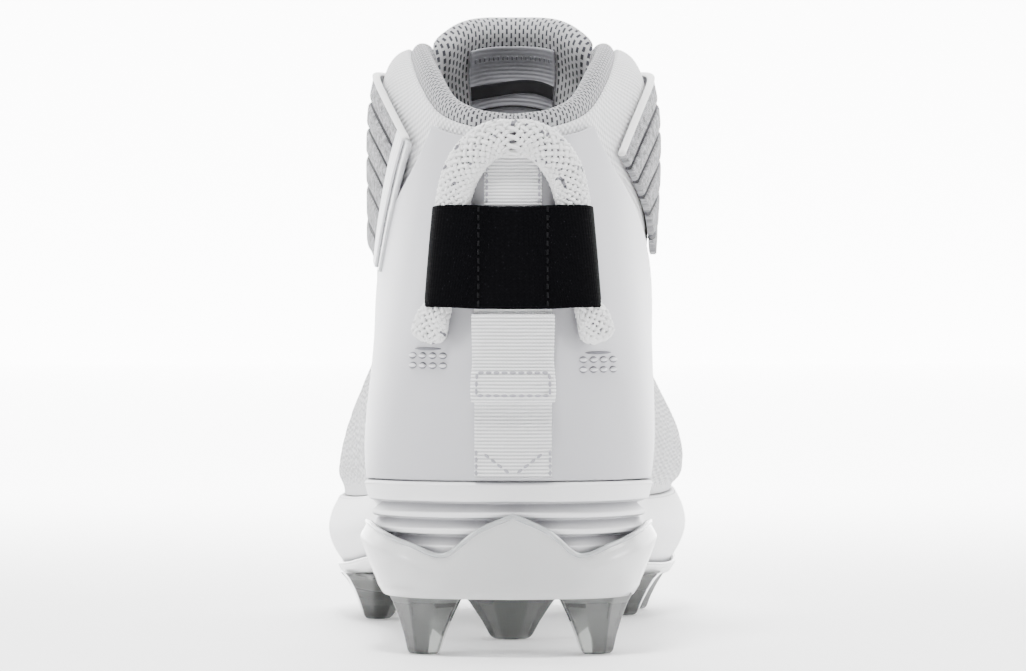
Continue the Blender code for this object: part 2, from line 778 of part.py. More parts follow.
def tongue_line(row, off):
    """Cross line of the tongue under the throat, even steps from side to side."""
    reach = np.linspace(-0.86, 0.86, 121)
    line = np.array([cover(row, out, off) for out in reach])
    for _ in range(14):
        line[1:-1] = 0.25 * line[:-2] + 0.5 * line[1:-1] + 0.25 * line[2:]
    runs = np.concatenate(([0.0], np.cumsum(np.linalg.norm(np.diff(line, axis=0), axis=1))))
    centre = 0.5 * runs[-1]
    widen = smooth_step(TONGUE_BACK, TONGUE_BACK + TONGUE_WIDEN, row)
    half = TONGUE_NECK + (TONGUE_HALF_WIDTH - TONGUE_NECK) * widen
    places = centre + np.linspace(-1.0, 1.0, TONGUE_COLUMNS) * min(half, 0.48 * runs[-1])
    return np.array([[np.interp(p, runs, line[:, k]) for k in range(3)] for p in places])


def build_tongue():
    """Tongue under the throat and laces, rising to a padded top roll."""
    sink = -(UPPER_WALL + TONGUE_SINK)
    lines = [tongue_line(row, sink) for row in np.linspace(TONGUE_FRONT, TONGUE_BACK, 11)]
    last = lines[-1]
    shares = np.linspace(-1.0, 1.0, TONGUE_COLUMNS)
    top = np.array([(TONGUE_TOP[0] - TONGUE_TOP_WRAP * s * s, TONGUE_TOP_HALF * s,
                     TONGUE_TOP[1] - TONGUE_TOP_ROUND * s ** 4) for s in shares])
    for k in TONGUE_RISE:
        lines.append(last + (top - last) * np.array((k ** 0.7, k, k)))
    count = len(lines)
    outer, inner = [], []
    for i, line in enumerate(lines):
        back, ahead = lines[max(i - 1, 0)], lines[min(i + 1, count - 1)]
        outer.append([])
        inner.append([])
        for j in range(len(line)):
            along = ahead[j] - back[j]
            across = line[min(j + 1, TONGUE_COLUMNS - 1)] - line[max(j - 1, 0)]
            normal = np.cross(across, along)
            normal /= np.linalg.norm(normal)
            rim = TONGUE_RIM if j in (0, TONGUE_COLUMNS - 1) else 1.0
            close = TONGUE_RIM if i == count - 1 else 1.0
            swell = smooth_step(count - 6, count - 2, i)
            thick = (TONGUE_THICK + (TONGUE_TOP_THICK - TONGUE_THICK) * swell) * rim * close
            outer[-1].append(line[j])
            inner[-1].append(line[j] - normal * thick)
    return slab("tongue", outer, inner)


def lace_strand(start, end, start_row, end_row, lift):
    """One flat strand over the throat between two eyelets."""
    steps = 4
    path = []
    for k in range(steps + 1):
        t = k / steps
        path.append(cover(start_row + (end_row - start_row) * t, start + (end - start) * t,
                          lift))
    rings = []
    for k, point in enumerate(path):
        ahead = path[min(k + 1, steps)] - path[max(k - 1, 0)]
        ahead /= np.linalg.norm(ahead)
        t = k / steps
        row = start_row + (end_row - start_row) * t
        out = start + (end - start) * t
        normal = cover(row, out, lift + LACE_STEP) - cover(row, out, lift)
        if abs(out) < 0.5:
            slope = cover(row + 0.1, out, lift) - cover(row - 0.1, out, lift)
            across = cover(row, out + 0.02, lift) - cover(row, out - 0.02, lift)
            normal = np.cross(slope, across)
        normal /= np.linalg.norm(normal)
        side = np.cross(normal, ahead)
        side /= np.linalg.norm(side)
        rings.append([point + side * LACE_HALF_WIDTH * out_share
                      + normal * LACE_HALF_THICK * up_share
                      for out_share, up_share in LACE_SECTION])
    return helper("strand", rings)


def lace_turn(row, side):
    """Flat round pad where two strands meet over an eyelet."""
    place = row if side > 0 else LOOP - row
    v = side_height(EYELET_OUT)
    normal = skin_normal(place, v)
    lifts = (GAP + 0.1 * LACE_STEP, GAP + 2.0 * LACE_HALF_THICK + 2.6 * LACE_STEP)
    return helper("turn", [disc(skin_off(place, v, lift), normal, LACE_TURN)
                           for lift in lifts])


def build_laces():
    """Bar over the first eyelets, then crossings up to the top pair."""
    rows = eyelets()
    lift = GAP + LACE_HALF_THICK + LACE_STEP
    strands = [lace_strand(EYELET_OUT, -EYELET_OUT, rows[0], rows[0], lift + LACE_STEP)]
    for low, high in zip(rows, rows[1:]):
        strands.append(lace_strand(EYELET_OUT, -EYELET_OUT, low, high, lift))
        strands.append(lace_strand(-EYELET_OUT, EYELET_OUT, low, high, lift + LACE_STEP / 2))
    strands += [lace_turn(row, side) for row in rows for side in (1.0, -1.0)]
    laces = new_object("laces", bmesh_of(strands[0]))
    bpy.data.objects.remove(strands[0])
    for strand in strands[1:]:
        cut_or_join(laces, strand, "UNION")
        bpy.data.objects.remove(strand)
    return laces


def bmesh_of(obj):
    """Working copy of an object's mesh."""
    bm = bmesh.new()
    bm.from_mesh(obj.data)
    return bm


def strap_point(run, across, extra):
    """Point of the strap: run from medial to lateral, across 0 low edge to 1 high edge."""
    at = {name: curve_at(STRAP["run"], STRAP[name], run) for name in STRAP}
    row = at["low_row"] + (at["high_row"] - at["low_row"]) * across
    out = at["low_out"] + (at["high_out"] - at["low_out"]) * across
    side = 1.0 if run >= 0 else -1.0
    return cover(row, side * max(out, 0.0), max(at["lift"], GAP) + extra)


def build_strap():
    """Ankle strap and the welded strip on its free end."""
    runs = np.linspace(-1.0, 1.0, 29)
    shares = np.linspace(0.0, 1.0, 5)
    centre = np.array([[strap_point(r, a, 0.0) for a in shares] for r in runs])
    for _ in range(3):
        centre[1:-1] = 0.25 * centre[:-2] + 0.5 * centre[1:-1] + 0.25 * centre[2:]
    along = np.gradient(centre, axis=0)
    across = np.gradient(centre, axis=1)
    normal = np.cross(along, across)
    normal /= np.linalg.norm(normal, axis=2)[:, :, None]
    outer = centre + normal * STRAP_THICK
    slab("strap", outer, centre)
    ahead = centre[-1] - centre[-2]
    ahead /= np.linalg.norm(ahead, axis=1)[:, None]
    thin = 0.15 * STRAP_THICK
    tip_outer, tip_inner = [], []
    for reach in (GAP, TIP_LENGTH):
        tip_outer.append(centre[-1] + ahead * reach + normal[-1] * (STRAP_THICK - thin))
        tip_inner.append(centre[-1] + ahead * reach + normal[-1] * thin)
    slab("strap_tip", tip_outer, tip_inner)


def build_tab():
    """Flat heel tab over the shell."""
    outer, inner = [], []
    base = SHELL_OFF + SHELL_WALL + GAP
    for up in np.linspace(TAB_FROM, TAB_TO, 13):
        narrow = 1.0 - (1.0 - TAB_NARROW) * smooth_step(BAND_FROM, 0.5 * (BAND_FROM + BAND_TO), up)
        outs = np.linspace(-0.5, 0.5, 5) * TAB_WIDTH * narrow
        outer.append([heel_off(out, up, base + TAB_THICK) for out in outs])
        inner.append([heel_off(out, up, base) for out in outs])
    return slab("heel_webbing", outer, inner)


def cord_path():
    """Out and up of the whole cord, lateral foot over the arch to the medial foot."""
    half = list(zip(CORD["out"], CORD["up"], CORD["half"]))
    points = np.array(half + [(-out, up, wide) for out, up, wide in half[-2::-1]])
    places = np.arange(len(points), dtype=float)
    return [[curve_at(places, points[:, k], t) for k in range(3)]
            for t in np.linspace(0.0, places[-1], 23)]


def build_cord():
    """Braided pull: flattened cord standing on the shell."""
    base = SHELL_OFF + SHELL_WALL + GAP
    flat = cord_path()
    path = []
    normals = []
    for out, up, wide in flat:
        place, v = heel_place(out, up)
        extra = TAB_THICK + GAP if abs(out) < 0.5 * TAB_NARROW * TAB_WIDTH + wide else 0.0
        lift = base + CORD_HALF_THICK + extra * smooth_step(BAND_TO, BAND_TO + CORD_REST, up)
        path.append(skin_off(place, v, lift))
        normals.append(skin_normal(place, v))

    def ring(i, point):
        ahead = path[min(i + 1, len(path) - 1)] - path[max(i - 1, 0)]
        ahead /= np.linalg.norm(ahead)
        side = np.cross(normals[i], ahead)
        side /= np.linalg.norm(side)
        up = np.cross(ahead, side)
        ends = min(i, len(path) - 1 - i)
        size = (0.8, 1.0)[min(ends, 1)]
        return [point + side * flat[i][2] * size * cos(a)
                + up * CORD_HALF_THICK * size * sin(a)
                for a in np.linspace(0.0, 2.0 * pi, ROUND_SIDES, endpoint=False)]

    return tube("pull_cord", path, ring)


def build_band():
    """Elastic band across the heel, bulging over the cord."""
    base = SHELL_OFF + SHELL_WALL + GAP
    signs = [-1.0] * (len(BAND["off"]) - 1) + [1.0] * len(BAND["off"])
    columns = [{name: values[k] for name, values in BAND.items()}
               for k in list(range(len(BAND["off"]) - 1, 0, -1)) + list(range(len(BAND["off"])))]
    outer, inner = [], []
    for sign, column in zip(signs, columns):
        outer.append([])
        inner.append([])
        for up in np.linspace(BAND_FROM, BAND_TO, 5):
            cord_out = curve_at(CORD["up"], CORD["out"], up)
            wide = curve_at(CORD["up"], CORD["half"], up)
            out = sign * (column["share"] * cord_out + column["width"] * wide)
            outer[-1].append(heel_off(out, up, base + column["off"] + BAND_THICK))
            inner[-1].append(heel_off(out, up, base + column["off"]))
    return slab("elastic_band", outer, inner)


def rest_on_origin():
    """Move the whole shoe so that its box stands centred over the origin."""
    points = np.array([v.co for obj in PARTS.objects for v in obj.data.vertices])
    low, high = points.min(axis=0), points.max(axis=0)
    shift = (-0.5 * (low[0] + high[0]), -0.5 * (low[1] + high[1]), -low[2])
    for obj in PARTS.objects:
        for vertex in obj.data.vertices:
            vertex.co.x += shift[0]
            vertex.co.y += shift[1]
            vertex.co.z += shift[2]
        obj.data.update()


for old in list(bpy.data.objects):
    bpy.data.objects.remove(old)

PARTS = bpy.data.collections.new("football_cleat")
CUTTERS = bpy.data.collections.new("cutters")
bpy.context.scene.collection.children.link(PARTS)
bpy.context.scene.collection.children.link(CUTTERS)

build_plate()
build_midsole()
build_insole()
punch_eyelets(build_upper())
build_shell()
build_roll()
build_tongue()
build_laces()
build_strap()
build_tab()
build_cord()
build_band()
rest_on_origin()
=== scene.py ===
"""Left american football cleat seen level from behind, on a pale studio floor.

Pieces are drawn finely from the shoe's own skin, outline and height tables.
"""
import bpy
import bmesh
import numpy as np
from math import pi, radians
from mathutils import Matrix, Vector


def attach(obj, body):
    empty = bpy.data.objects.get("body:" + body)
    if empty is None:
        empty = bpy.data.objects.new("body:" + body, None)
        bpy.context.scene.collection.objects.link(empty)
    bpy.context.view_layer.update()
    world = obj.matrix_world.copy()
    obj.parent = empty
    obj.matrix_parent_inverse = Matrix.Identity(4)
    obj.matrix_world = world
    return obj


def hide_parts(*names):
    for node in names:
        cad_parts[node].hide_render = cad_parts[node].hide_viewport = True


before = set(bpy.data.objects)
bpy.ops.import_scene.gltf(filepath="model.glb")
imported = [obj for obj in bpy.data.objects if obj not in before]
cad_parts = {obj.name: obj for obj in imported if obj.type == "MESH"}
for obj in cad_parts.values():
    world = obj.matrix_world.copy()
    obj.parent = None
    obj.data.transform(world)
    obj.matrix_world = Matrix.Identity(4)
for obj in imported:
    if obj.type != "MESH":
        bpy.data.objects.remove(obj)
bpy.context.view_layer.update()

# Camera: level, straight behind the heel, at the height of the heel pull
CAMERA_BEHIND = 1.365
CAMERA_HEIGHT = 0.0945
CAMERA_LENS = 182.0
CAMERA_PITCH = radians(0.37)
CAMERA_NEAR = 0.05
SENSOR_WIDTH = 36.0

# Named sizes of the shoe, metres
SOLE_LENGTH = 0.302
BALL_WIDTH = 0.110
ANKLE_HEIGHT = 0.168
INSTEP_BULGE = 0.18
GAP = 0.0003
UPPER_WALL = 0.0020
SHELL_WALL = 0.0016
SHELL_OFF = 0.0006
CUP_GAP = 0.0006
PLATE_WALL = 0.0016
PLATE_THICK = 0.0024
PLATE_LIP = 0.0012
RIM_LAND = 0.0034
HEEL_LIP = 0.0030
BALL_LIP = 0.0014
SHELL_FOOT = 0.004
SHELL_TOP = 0.980
SHELL_SIZE = (0.180, 0.115)
SHELL_ROUND = 0.0007
THROAT_ROW = 10
SIDE_PER_OUT = 1.4
LAST_ROW = 14
LOOP = 2 * LAST_ROW


def table(names, rows):
    """Short table with named columns: one array per column."""
    return {name: np.array(column) for name, column in zip(names.split(), zip(*rows))}


# Sole outline from heel (first row) to toe (last row), both sides of the foot's line;
# along is a share of SOLE_LENGTH, out a share of BALL_WIDTH
OUTLINE = table("lat_along lat_out med_along med_out", [
    (0.0000, 0.000, 0.0000, 0.000),
    (0.0186, 0.182, 0.0186, 0.176),
    (0.0695, 0.315, 0.0695, 0.300),
    (0.1390, 0.366, 0.1390, 0.345),
    (0.2500, 0.362, 0.2500, 0.336),
    (0.3600, 0.370, 0.3600, 0.308),
    (0.4700, 0.405, 0.4700, 0.300),
    (0.5700, 0.460, 0.5700, 0.345),
    (0.6600, 0.503, 0.6600, 0.425),
    (0.7400, 0.500, 0.7450, 0.478),
    (0.8200, 0.452, 0.8250, 0.474),
    (0.8920, 0.366, 0.8970, 0.422),
    (0.9480, 0.245, 0.9500, 0.335),
    (0.9860, 0.095, 0.9870, 0.215),
    (1.0000, -0.065, 1.0000, 0.065),
])

# Sole heights in metres above the floor; along is a share of SOLE_LENGTH
SOLE = table("along plate bed rim", [
    (0.00, 0.0156, 0.0300, 0.0470),
    (0.12, 0.0156, 0.0295, 0.0465),
    (0.30, 0.0165, 0.0270, 0.0425),
    (0.45, 0.0175, 0.0250, 0.0390),
    (0.60, 0.0135, 0.0235, 0.0365),
    (0.72, 0.0120, 0.0230, 0.0365),
    (0.85, 0.0155, 0.0260, 0.0390),
    (0.94, 0.0210, 0.0310, 0.0420),
    (1.00, 0.0265, 0.0350, 0.0445),
])

# How far the midsole side stands in from the outline, by share of its height
SIDE = table("share heel ball", [
    (0.00, 0.0088, 0.0052),
    (0.25, 0.0060, 0.0017),
    (0.50, 0.0036, 0.0000),
    (0.75, 0.0018, 0.0008),
    (1.00, 0.0000, 0.0034),
])

# Insole's edge: in from its rim and up from its underside
INSOLE_EDGE = table("inset up", [
    (0.0000, 0.0000),
    (0.0000, 0.0057),
    (0.0020, 0.0055),
    (0.0080, 0.0045),
])

# Outline row where the heel shell ends, by share of its height
SHELL_EDGE = table("share row", [
    (0.00, 4.30),
    (0.30, 3.90),
    (0.60, 3.15),
    (0.85, 2.35),
    (1.00, 1.85),
])

# Top line of the plate's heel cup, by outline row
CUP = table("row top", [
    (0.00, 0.0385),
    (0.45, 0.0345),
    (0.95, 0.0280),
    (1.60, 0.0305),
    (2.20, 0.0332),
    (3.00, 0.0354),
    (4.00, 0.0300),
    (5.00, 0.0235),
])

# Upper, one rib of its skin per outline row: the rim it rises to and its handles.
# along is a share of SOLE_LENGTH; mid, half, flare, waist and crown are shares of
# BALL_WIDTH; up, rise and drop are shares of ANKLE_HEIGHT; lean is a share of the rib's
# plan run
RIBS = table("along mid half up rise flare_lat flare_med waist_lat waist_med"
             " lean crown drop", [
    (0.036, 0.000, 0.000, 0.827, 0.167, 0.055, 0.055, -0.010, -0.010, 0.00, 0.036, 0.208),
    (0.046, 0.000, 0.109, 0.836, 0.167, 0.055, 0.055, -0.020, -0.015, 0.00, 0.036, 0.208),
    (0.080, 0.000, 0.190, 0.860, 0.167, 0.060, 0.060, -0.070, -0.045, 0.00, 0.036, 0.220),
    (0.139, 0.000, 0.240, 0.912, 0.179, 0.055, 0.060, -0.130, -0.090, 0.00, 0.090, 0.140),
    (0.218, 0.000, 0.265, 0.966, 0.190, 0.020, 0.035, -0.130, -0.090, 0.00, 0.190, 0.045),
    (0.291, 0.000, 0.260, 0.976, 0.200, 0.020, 0.045, -0.120, -0.080, 0.00, 0.190, 0.045),
    (0.371, 0.000, 0.210, 0.893, 0.200, 0.025, 0.095, -0.080, -0.040, 0.10, 0.135, 0.110),
    (0.457, 0.000, 0.168, 0.744, 0.170, 0.020, 0.130, -0.030, 0.000, 0.35, 0.040, 0.095),
    (0.540, 0.000, 0.145, 0.622, 0.140, 0.020, 0.125, 0.000, 0.010, 0.50, 0.010, 0.050),
    (0.616, 0.000, 0.095, 0.545, 0.120, 0.015, 0.100, 0.000, 0.010, 0.55, 0.000, 0.030),
    (0.679, 0.000, 0.000, 0.500, 0.110, 0.015, 0.070, 0.000, 0.000, 0.58, 0.000, 0.015),
    (0.745, -0.010, 0.000, 0.455, 0.098, 0.012, 0.040, 0.000, 0.000, 0.60, 0.000, 0.010),
    (0.808, -0.025, 0.000, 0.417, 0.088, 0.010, 0.018, 0.000, 0.000, 0.60, 0.000, 0.008),
    (0.858, -0.038, 0.000, 0.390, 0.080, 0.010, 0.010, 0.000, 0.000, 0.60, 0.000, 0.006),
    (0.897, -0.050, 0.000, 0.370, 0.076, 0.010, 0.010, 0.000, 0.000, 0.60, 0.000, 0.005),
])

# Ankle strap from its medial anchor (run -1) over the front (0) to its free end (1);
# row is an outline row, out runs from 0 at the centre through 0.5 at the throat edge
STRAP = table("run low_row low_out high_row high_out lift", [
    (-1.00, 3.80, 0.870, 2.65, 0.620, 0.0009),
    (-0.80, 4.10, 0.880, 3.55, 0.610, 0.0011),
    (-0.60, 4.65, 0.880, 4.55, 0.610, 0.0020),
    (-0.38, 5.75, 0.780, 5.55, 0.540, 0.0054),
    (-0.18, 6.85, 0.480, 6.10, 0.300, 0.0066),
    (0.00, 7.35, 0.000, 6.30, 0.000, 0.0064),
    (0.18, 6.85, 0.480, 6.10, 0.300, 0.0066),
    (0.38, 5.75, 0.780, 5.55, 0.545, 0.0054),
    (0.60, 4.65, 0.876, 4.50, 0.605, 0.0020),
    (0.80, 4.00, 0.872, 3.45, 0.598, 0.0014),
    (1.00, 3.35, 0.872, 2.62, 0.588, 0.0014),
])

# Studs: place of the tip in shares of SOLE_LENGTH and BALL_WIDTH, turn in degrees, and
# how far the root leans from the tip toward the plate's middle, in shares of BALL_WIDTH
STUDS = table("along out turn root_along root_out", [
    (0.099, 0.218, 35.0, 0.025, -0.008),
    (0.099, -0.205, -35.0, 0.025, 0.008),
    (0.298, 0.005, 0.0, 0.000, 0.000),
    (0.606, 0.368, 8.0, 0.000, -0.022),
    (0.712, 0.380, 0.0, 0.000, -0.018),
    (0.818, 0.300, -25.0, -0.015, -0.018),
    (0.668, -0.305, -8.0, 0.000, 0.015),
    (0.770, -0.335, 10.0, 0.000, 0.018),
    (0.872, -0.260, 30.0, -0.015, 0.018),
    (0.735, 0.020, 90.0, 0.000, 0.000),
])

# Pull cord over the heel, lateral half from the slit up: metres from the centre and the
# floor, and half the width of the cord there, pressed narrow inside the band
CORD = table("out up half", [
    (0.0196, 0.0835, 0.0060),
    (0.0184, 0.0885, 0.0056),
    (0.0168, 0.0935, 0.0042),
    (0.0150, 0.1060, 0.0044),
    (0.0136, 0.1190, 0.0051),
    (0.0112, 0.1290, 0.0053),
    (0.0062, 0.1355, 0.0051),
    (0.0000, 0.1372, 0.0050),
])

# Elastic band over the cord: each column of the band stands at a share of the cord's
# distance from the centre plus a share of its half width; off in metres from the shell
BAND = table("share width off", [
    (0.00, 0.00, 0.0016),
    (0.35, 0.00, 0.0018),
    (1.00, -1.50, 0.0026),
    (1.00, -1.00, 0.0038),
    (1.00, -0.50, 0.0045),
    (1.00, 0.00, 0.0047),
    (1.00, 0.45, 0.0042),
    (1.00, 0.80, 0.0026),
    (1.00, 0.92, 0.0012),
    (1.00, 0.96, 0.0003),
])


def smooth(low, high, value):
    """0 below low, 1 above high, an even turn between."""
    share = np.clip((value - low) / (high - low), 0.0, 1.0)
    return share * share * (3.0 - 2.0 * share)


def hump(rise, fall, value):
    """0 outside and 1 between: a rise over one span of values, a fall over another."""
    return smooth(*rise, value) * (1.0 - smooth(*fall, value))


def curve(places, values, at):
    """Smooth curve through a table's column, flat beyond both ends."""
    at = np.clip(at, places[0], places[-1])
    i = np.clip(np.searchsorted(places, at, side="right") - 1, 0, len(places) - 2)
    slopes = np.gradient(values, places)
    width = places[i + 1] - places[i]
    t = (at - places[i]) / width
    return ((2 * t ** 3 - 3 * t ** 2 + 1) * values[i]
            + (t ** 3 - 2 * t ** 2 + t) * width * slopes[i]
            + (3 * t ** 2 - 2 * t ** 3) * values[i + 1]
            + (t ** 3 - t ** 2) * width * slopes[i + 1])


def around(lateral, medial):
    """Closed run of values: heel, lateral side, toe, medial side, back to the heel."""
    return np.array(list(lateral) + list(medial[-2:0:-1]))


def between(a, b, c, d, t):
    """Smooth way from b to c by share t, with a and d the values beyond them."""
    return b + 0.5 * t * ((c - a) + t * ((2 * a - 5 * b + 4 * c - d)
                                         + t * (3 * (b - c) + d - a)))


def loop_curve(values, place):
    """Smooth closed curve through a run of values, by outline row."""
    i = np.floor(place).astype(int)
    return between(*(values[(i + k) % LOOP] for k in (-1, 0, 1, 2)), place - i)


EDGE_X = SOLE_LENGTH * around(OUTLINE["lat_along"], OUTLINE["med_along"])
EDGE_Y = BALL_WIDTH * around(OUTLINE["lat_out"], -OUTLINE["med_out"])
RIB_LOOPS = {name: around(column, column) for name, column in RIBS.items()}
RIB_LOOPS["flare"] = around(RIBS["flare_lat"], RIBS["flare_med"])
RIB_LOOPS["waist"] = around(RIBS["waist_lat"], RIBS["waist_med"])


def row_of(place):
    """Outline row, heel 0 to toe 14, of places on the loop."""
    place = np.mod(place, LOOP)
    return np.minimum(place, LOOP - place)


def side_of(place):
    """1 on the lateral half of the loop, -1 on the medial half."""
    return np.where(np.mod(place, LOOP) <= LAST_ROW, 1.0, -1.0)


def edge(place, inset=0.0):
    """Points of the sole outline, moved in toward the foot, and the outward direction."""
    step = 0.01
    x, y = loop_curve(EDGE_X, place), loop_curve(EDGE_Y, place)
    run_x = loop_curve(EDGE_X, place + step) - loop_curve(EDGE_X, place - step)
    run_y = loop_curve(EDGE_Y, place + step) - loop_curve(EDGE_Y, place - step)
    size = np.hypot(run_x, run_y)
    out_x, out_y = -run_y / size, run_x / size
    return x - inset * out_x, y - inset * out_y, out_x, out_y


def level(name, x):
    """Height of a line of the sole at places along the shoe."""
    return curve(SOLE["along"], SOLE[name], x / SOLE_LENGTH)


def ball_share(x):
    """0 at the heel, 1 in the forefoot."""
    return smooth(0.28, 0.55, x / SOLE_LENGTH)


def side_inset(x, share):
    """How far in the midsole side stands at a share of its height."""
    heel = curve(SIDE["share"], SIDE["heel"], share)
    ball = curve(SIDE["share"], SIDE["ball"], share)
    return heel + (ball - heel) * ball_share(x)


def base_inset(x):
    """How far in from the outline the upper's lower edge stands."""
    return side_inset(x, 1.0) + HEEL_LIP + (BALL_LIP - HEEL_LIP) * ball_share(x)


def rim_fall(row):
    """Fall of the throat and vamp line toward the toe, as rise over run."""
    row = np.maximum(row, 6.0)
    run = loop_curve(RIB_LOOPS["along"], row) - loop_curve(RIB_LOOPS["along"], row - 0.4)
    drop = loop_curve(RIB_LOOPS["up"], row - 0.4) - loop_curve(RIB_LOOPS["up"], row)
    return drop * ANKLE_HEIGHT / (run * SOLE_LENGTH)


def skin(place, v):
    """Upper's outer face: v 0 at the sole, 1 at the collar, throat or centre line."""
    place, v = np.broadcast_arrays(np.asarray(place, float), np.asarray(v, float))
    row = row_of(place)
    rough_x = edge(place)[0]
    bx, by, out_x, out_y = edge(place, base_inset(rough_x))
    base = np.stack((bx, by, level("rim", rough_x) + GAP), -1)
    at = {name: loop_curve(run, place) for name, run in RIB_LOOPS.items()}
    half = np.where(row < THROAT_ROW, np.maximum(at["half"], 0.0), 0.0)
    rim = np.stack((at["along"] * SOLE_LENGTH,
                    (at["mid"] + side_of(place) * half) * BALL_WIDTH,
                    at["up"] * ANKLE_HEIGHT), -1)
    flat_out = np.stack((out_x, out_y, 0.0 * out_x), -1)
    run = (base - rim) * (1.0, 1.0, 0.0)
    each = {name: column[..., None] for name, column in at.items()}
    low = base + flat_out * each["flare"] * BALL_WIDTH
    low[..., 2] += at["rise"] * ANKLE_HEIGHT
    high = rim + run * each["lean"] + flat_out * each["crown"] * BALL_WIDTH
    fall = rim_fall(row) * (0.5 + 0.5 * smooth(7.0, THROAT_ROW, row))
    high[..., 2] -= (at["drop"] * ANKLE_HEIGHT
                     + fall * np.maximum(run[..., 0], 0.0) * at["lean"])
    v = v[..., None]
    w = 1.0 - v
    return (w ** 3 * base + 3 * w * w * v * low + 3 * w * v * v * high + v ** 3 * rim
            + 6 * w * w * v * v * flat_out * each["waist"] * BALL_WIDTH)


def unit(vectors):
    """Vectors scaled to length one."""
    return vectors / np.linalg.norm(vectors, axis=-1, keepdims=True)


def skin_normal(place, v):
    """Outward direction of the upper's outer face."""
    place, v = np.broadcast_arrays(np.asarray(place, float), np.asarray(v, float))
    step = 0.02
    along = skin(place + step, v) - skin(place - step, v)
    up = skin(place, np.minimum(v + step, 1.0)) - skin(place, np.maximum(v - step, 0.0))
    return unit(np.cross(up, along))


def skin_off(place, v, off):
    """Points a given distance off the upper's outer face."""
    return skin(place, v) + np.asarray(off)[..., None] * skin_normal(place, v)


def side_height(reach):
    """Share of the skin's height at a distance out beside the throat."""
    return 1.0 - (reach - 0.5) * SIDE_PER_OUT


def cover(row, out, off):
    """Face over foot and throat: out 0 at the centre, 0.5 at the throat edge, then down
    the side; positive out is lateral."""
    row, out, off = np.broadcast_arrays(row, np.asarray(out, float), np.asarray(off, float))
    place = np.where(out >= 0, row, LOOP - row)
    beside = skin_off(place, np.clip(side_height(np.abs(out)), 0.0, 1.0), off)
    inner = np.clip(out, -0.5, 0.5)
    lateral, medial = skin(row, 1.0), skin(LOOP - row, 1.0)
    chord = medial + (lateral - medial) * (inner + 0.5)[..., None]
    slope = skin(row + 0.1, 1.0) - skin(row - 0.1, 1.0)
    rise = unit(np.stack((-slope[..., 2], 0.0 * row, slope[..., 0]), -1))
    middle = (1.0 - (2.0 * inner) ** 2)[..., None]
    normal = unit(rise * middle + skin_normal(place, 1.0) * (1.0 - middle))
    bulge = INSTEP_BULGE * np.linalg.norm(lateral - medial, axis=-1, keepdims=True)
    over = chord + rise * bulge * middle + normal * off[..., None]
    return np.where((np.abs(out) >= 0.5)[..., None], beside, over)


def heel_place(out, up):
    """Loop place and v of the heel face at distances from the centre and heights."""
    out, up = np.broadcast_arrays(np.asarray(out, float), np.asarray(up, float))
    step = 0.01
    place, v = 60.0 * out, 0.5 + 0.0 * up
    for _ in range(12):
        here = skin(place, v)
        miss_y, miss_z = out - here[..., 1], up - here[..., 2]
        if max(np.abs(miss_y).max(), np.abs(miss_z).max()) < 0.0000005:
            break
        by_place = (skin(place + step, v) - skin(place - step, v)) / (2.0 * step)
        by_v = (skin(place, v + step) - skin(place, v - step)) / (2.0 * step)
        size = by_place[..., 1] * by_v[..., 2] - by_v[..., 1] * by_place[..., 2]
        move = (miss_y * by_v[..., 2] - by_v[..., 1] * miss_z) / size
        lift = (by_place[..., 1] * miss_z - miss_y * by_place[..., 2]) / size
        place = place + np.clip(move, -0.8, 0.8)
        v = np.clip(v + lift, 0.02, 0.98)
    return place, v


def heel_off(out, up, off):
    """Points off the heel face, found by distance from the centre and height."""
    place, v = heel_place(out, up)
    return skin_off(place, v, off)


# Where the tables' heel sits in the frame, from the tips of the CAD plate's studs
TIP_LOW = 0.0001
plate_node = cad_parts["outsole_plate"]
tips = np.array([plate_node.matrix_world @ v.co for v in plate_node.data.vertices])
tips = tips[tips[:, 2] < TIP_LOW]
SHIFT = np.array((tips[:, 0].mean() - STUDS["along"].mean() * SOLE_LENGTH,
                  tips[:, 1].mean() - STUDS["out"].mean() * BALL_WIDTH, 0.0))


def piece(name, grids, look, node):
    """One smooth mesh from point grids with their metres-wide texture grids."""
    points, uvs, faces, count = [], [], [], 0
    for grid, uv in grids:
        m, n = grid.shape[:2]
        index = count + np.arange(m * n).reshape(m, n)
        quads = np.stack((index[:-1, :-1], index[1:, :-1], index[1:, 1:], index[:-1, 1:]), -1)
        points.append(grid.reshape(-1, 3))
        uvs.append(uv.reshape(-1, 2))
        faces.append(quads.reshape(-1, 4))
        count += m * n
    points, uvs = np.concatenate(points) + SHIFT, np.concatenate(uvs)
    faces = np.concatenate(faces)
    mesh = bpy.data.meshes.new(name)
    mesh.vertices.add(len(points))
    mesh.vertices.foreach_set("co", points.ravel())
    mesh.loops.add(faces.size)
    mesh.loops.foreach_set("vertex_index", faces.ravel())
    mesh.polygons.add(len(faces))
    mesh.polygons.foreach_set("loop_start", np.arange(len(faces)) * 4)
    layer = mesh.uv_layers.new(name="metres")
    layer.data.foreach_set("uv", uvs[faces.ravel()].ravel())
    mesh.update(calc_edges=True)
    work = bmesh.new()
    work.from_mesh(mesh)
    bmesh.ops.remove_doubles(work, verts=work.verts, dist=0.000004)
    bmesh.ops.dissolve_degenerate(work, dist=0.000002, edges=work.edges)
    bmesh.ops.recalc_face_normals(work, faces=work.faces)
    work.to_mesh(mesh)
    work.free()
    mesh.polygons.foreach_set("use_smooth", np.ones(len(mesh.polygons), bool))
    obj = bpy.data.objects.new(name, mesh)
    bpy.context.scene.collection.objects.link(obj)
    mesh.materials.append(look.material)
    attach(obj, "root")
    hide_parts(node)
    return obj


def running(steps):
    """Distances from the start, one more than there are steps."""
    return np.concatenate(([0.0], np.cumsum(steps)))


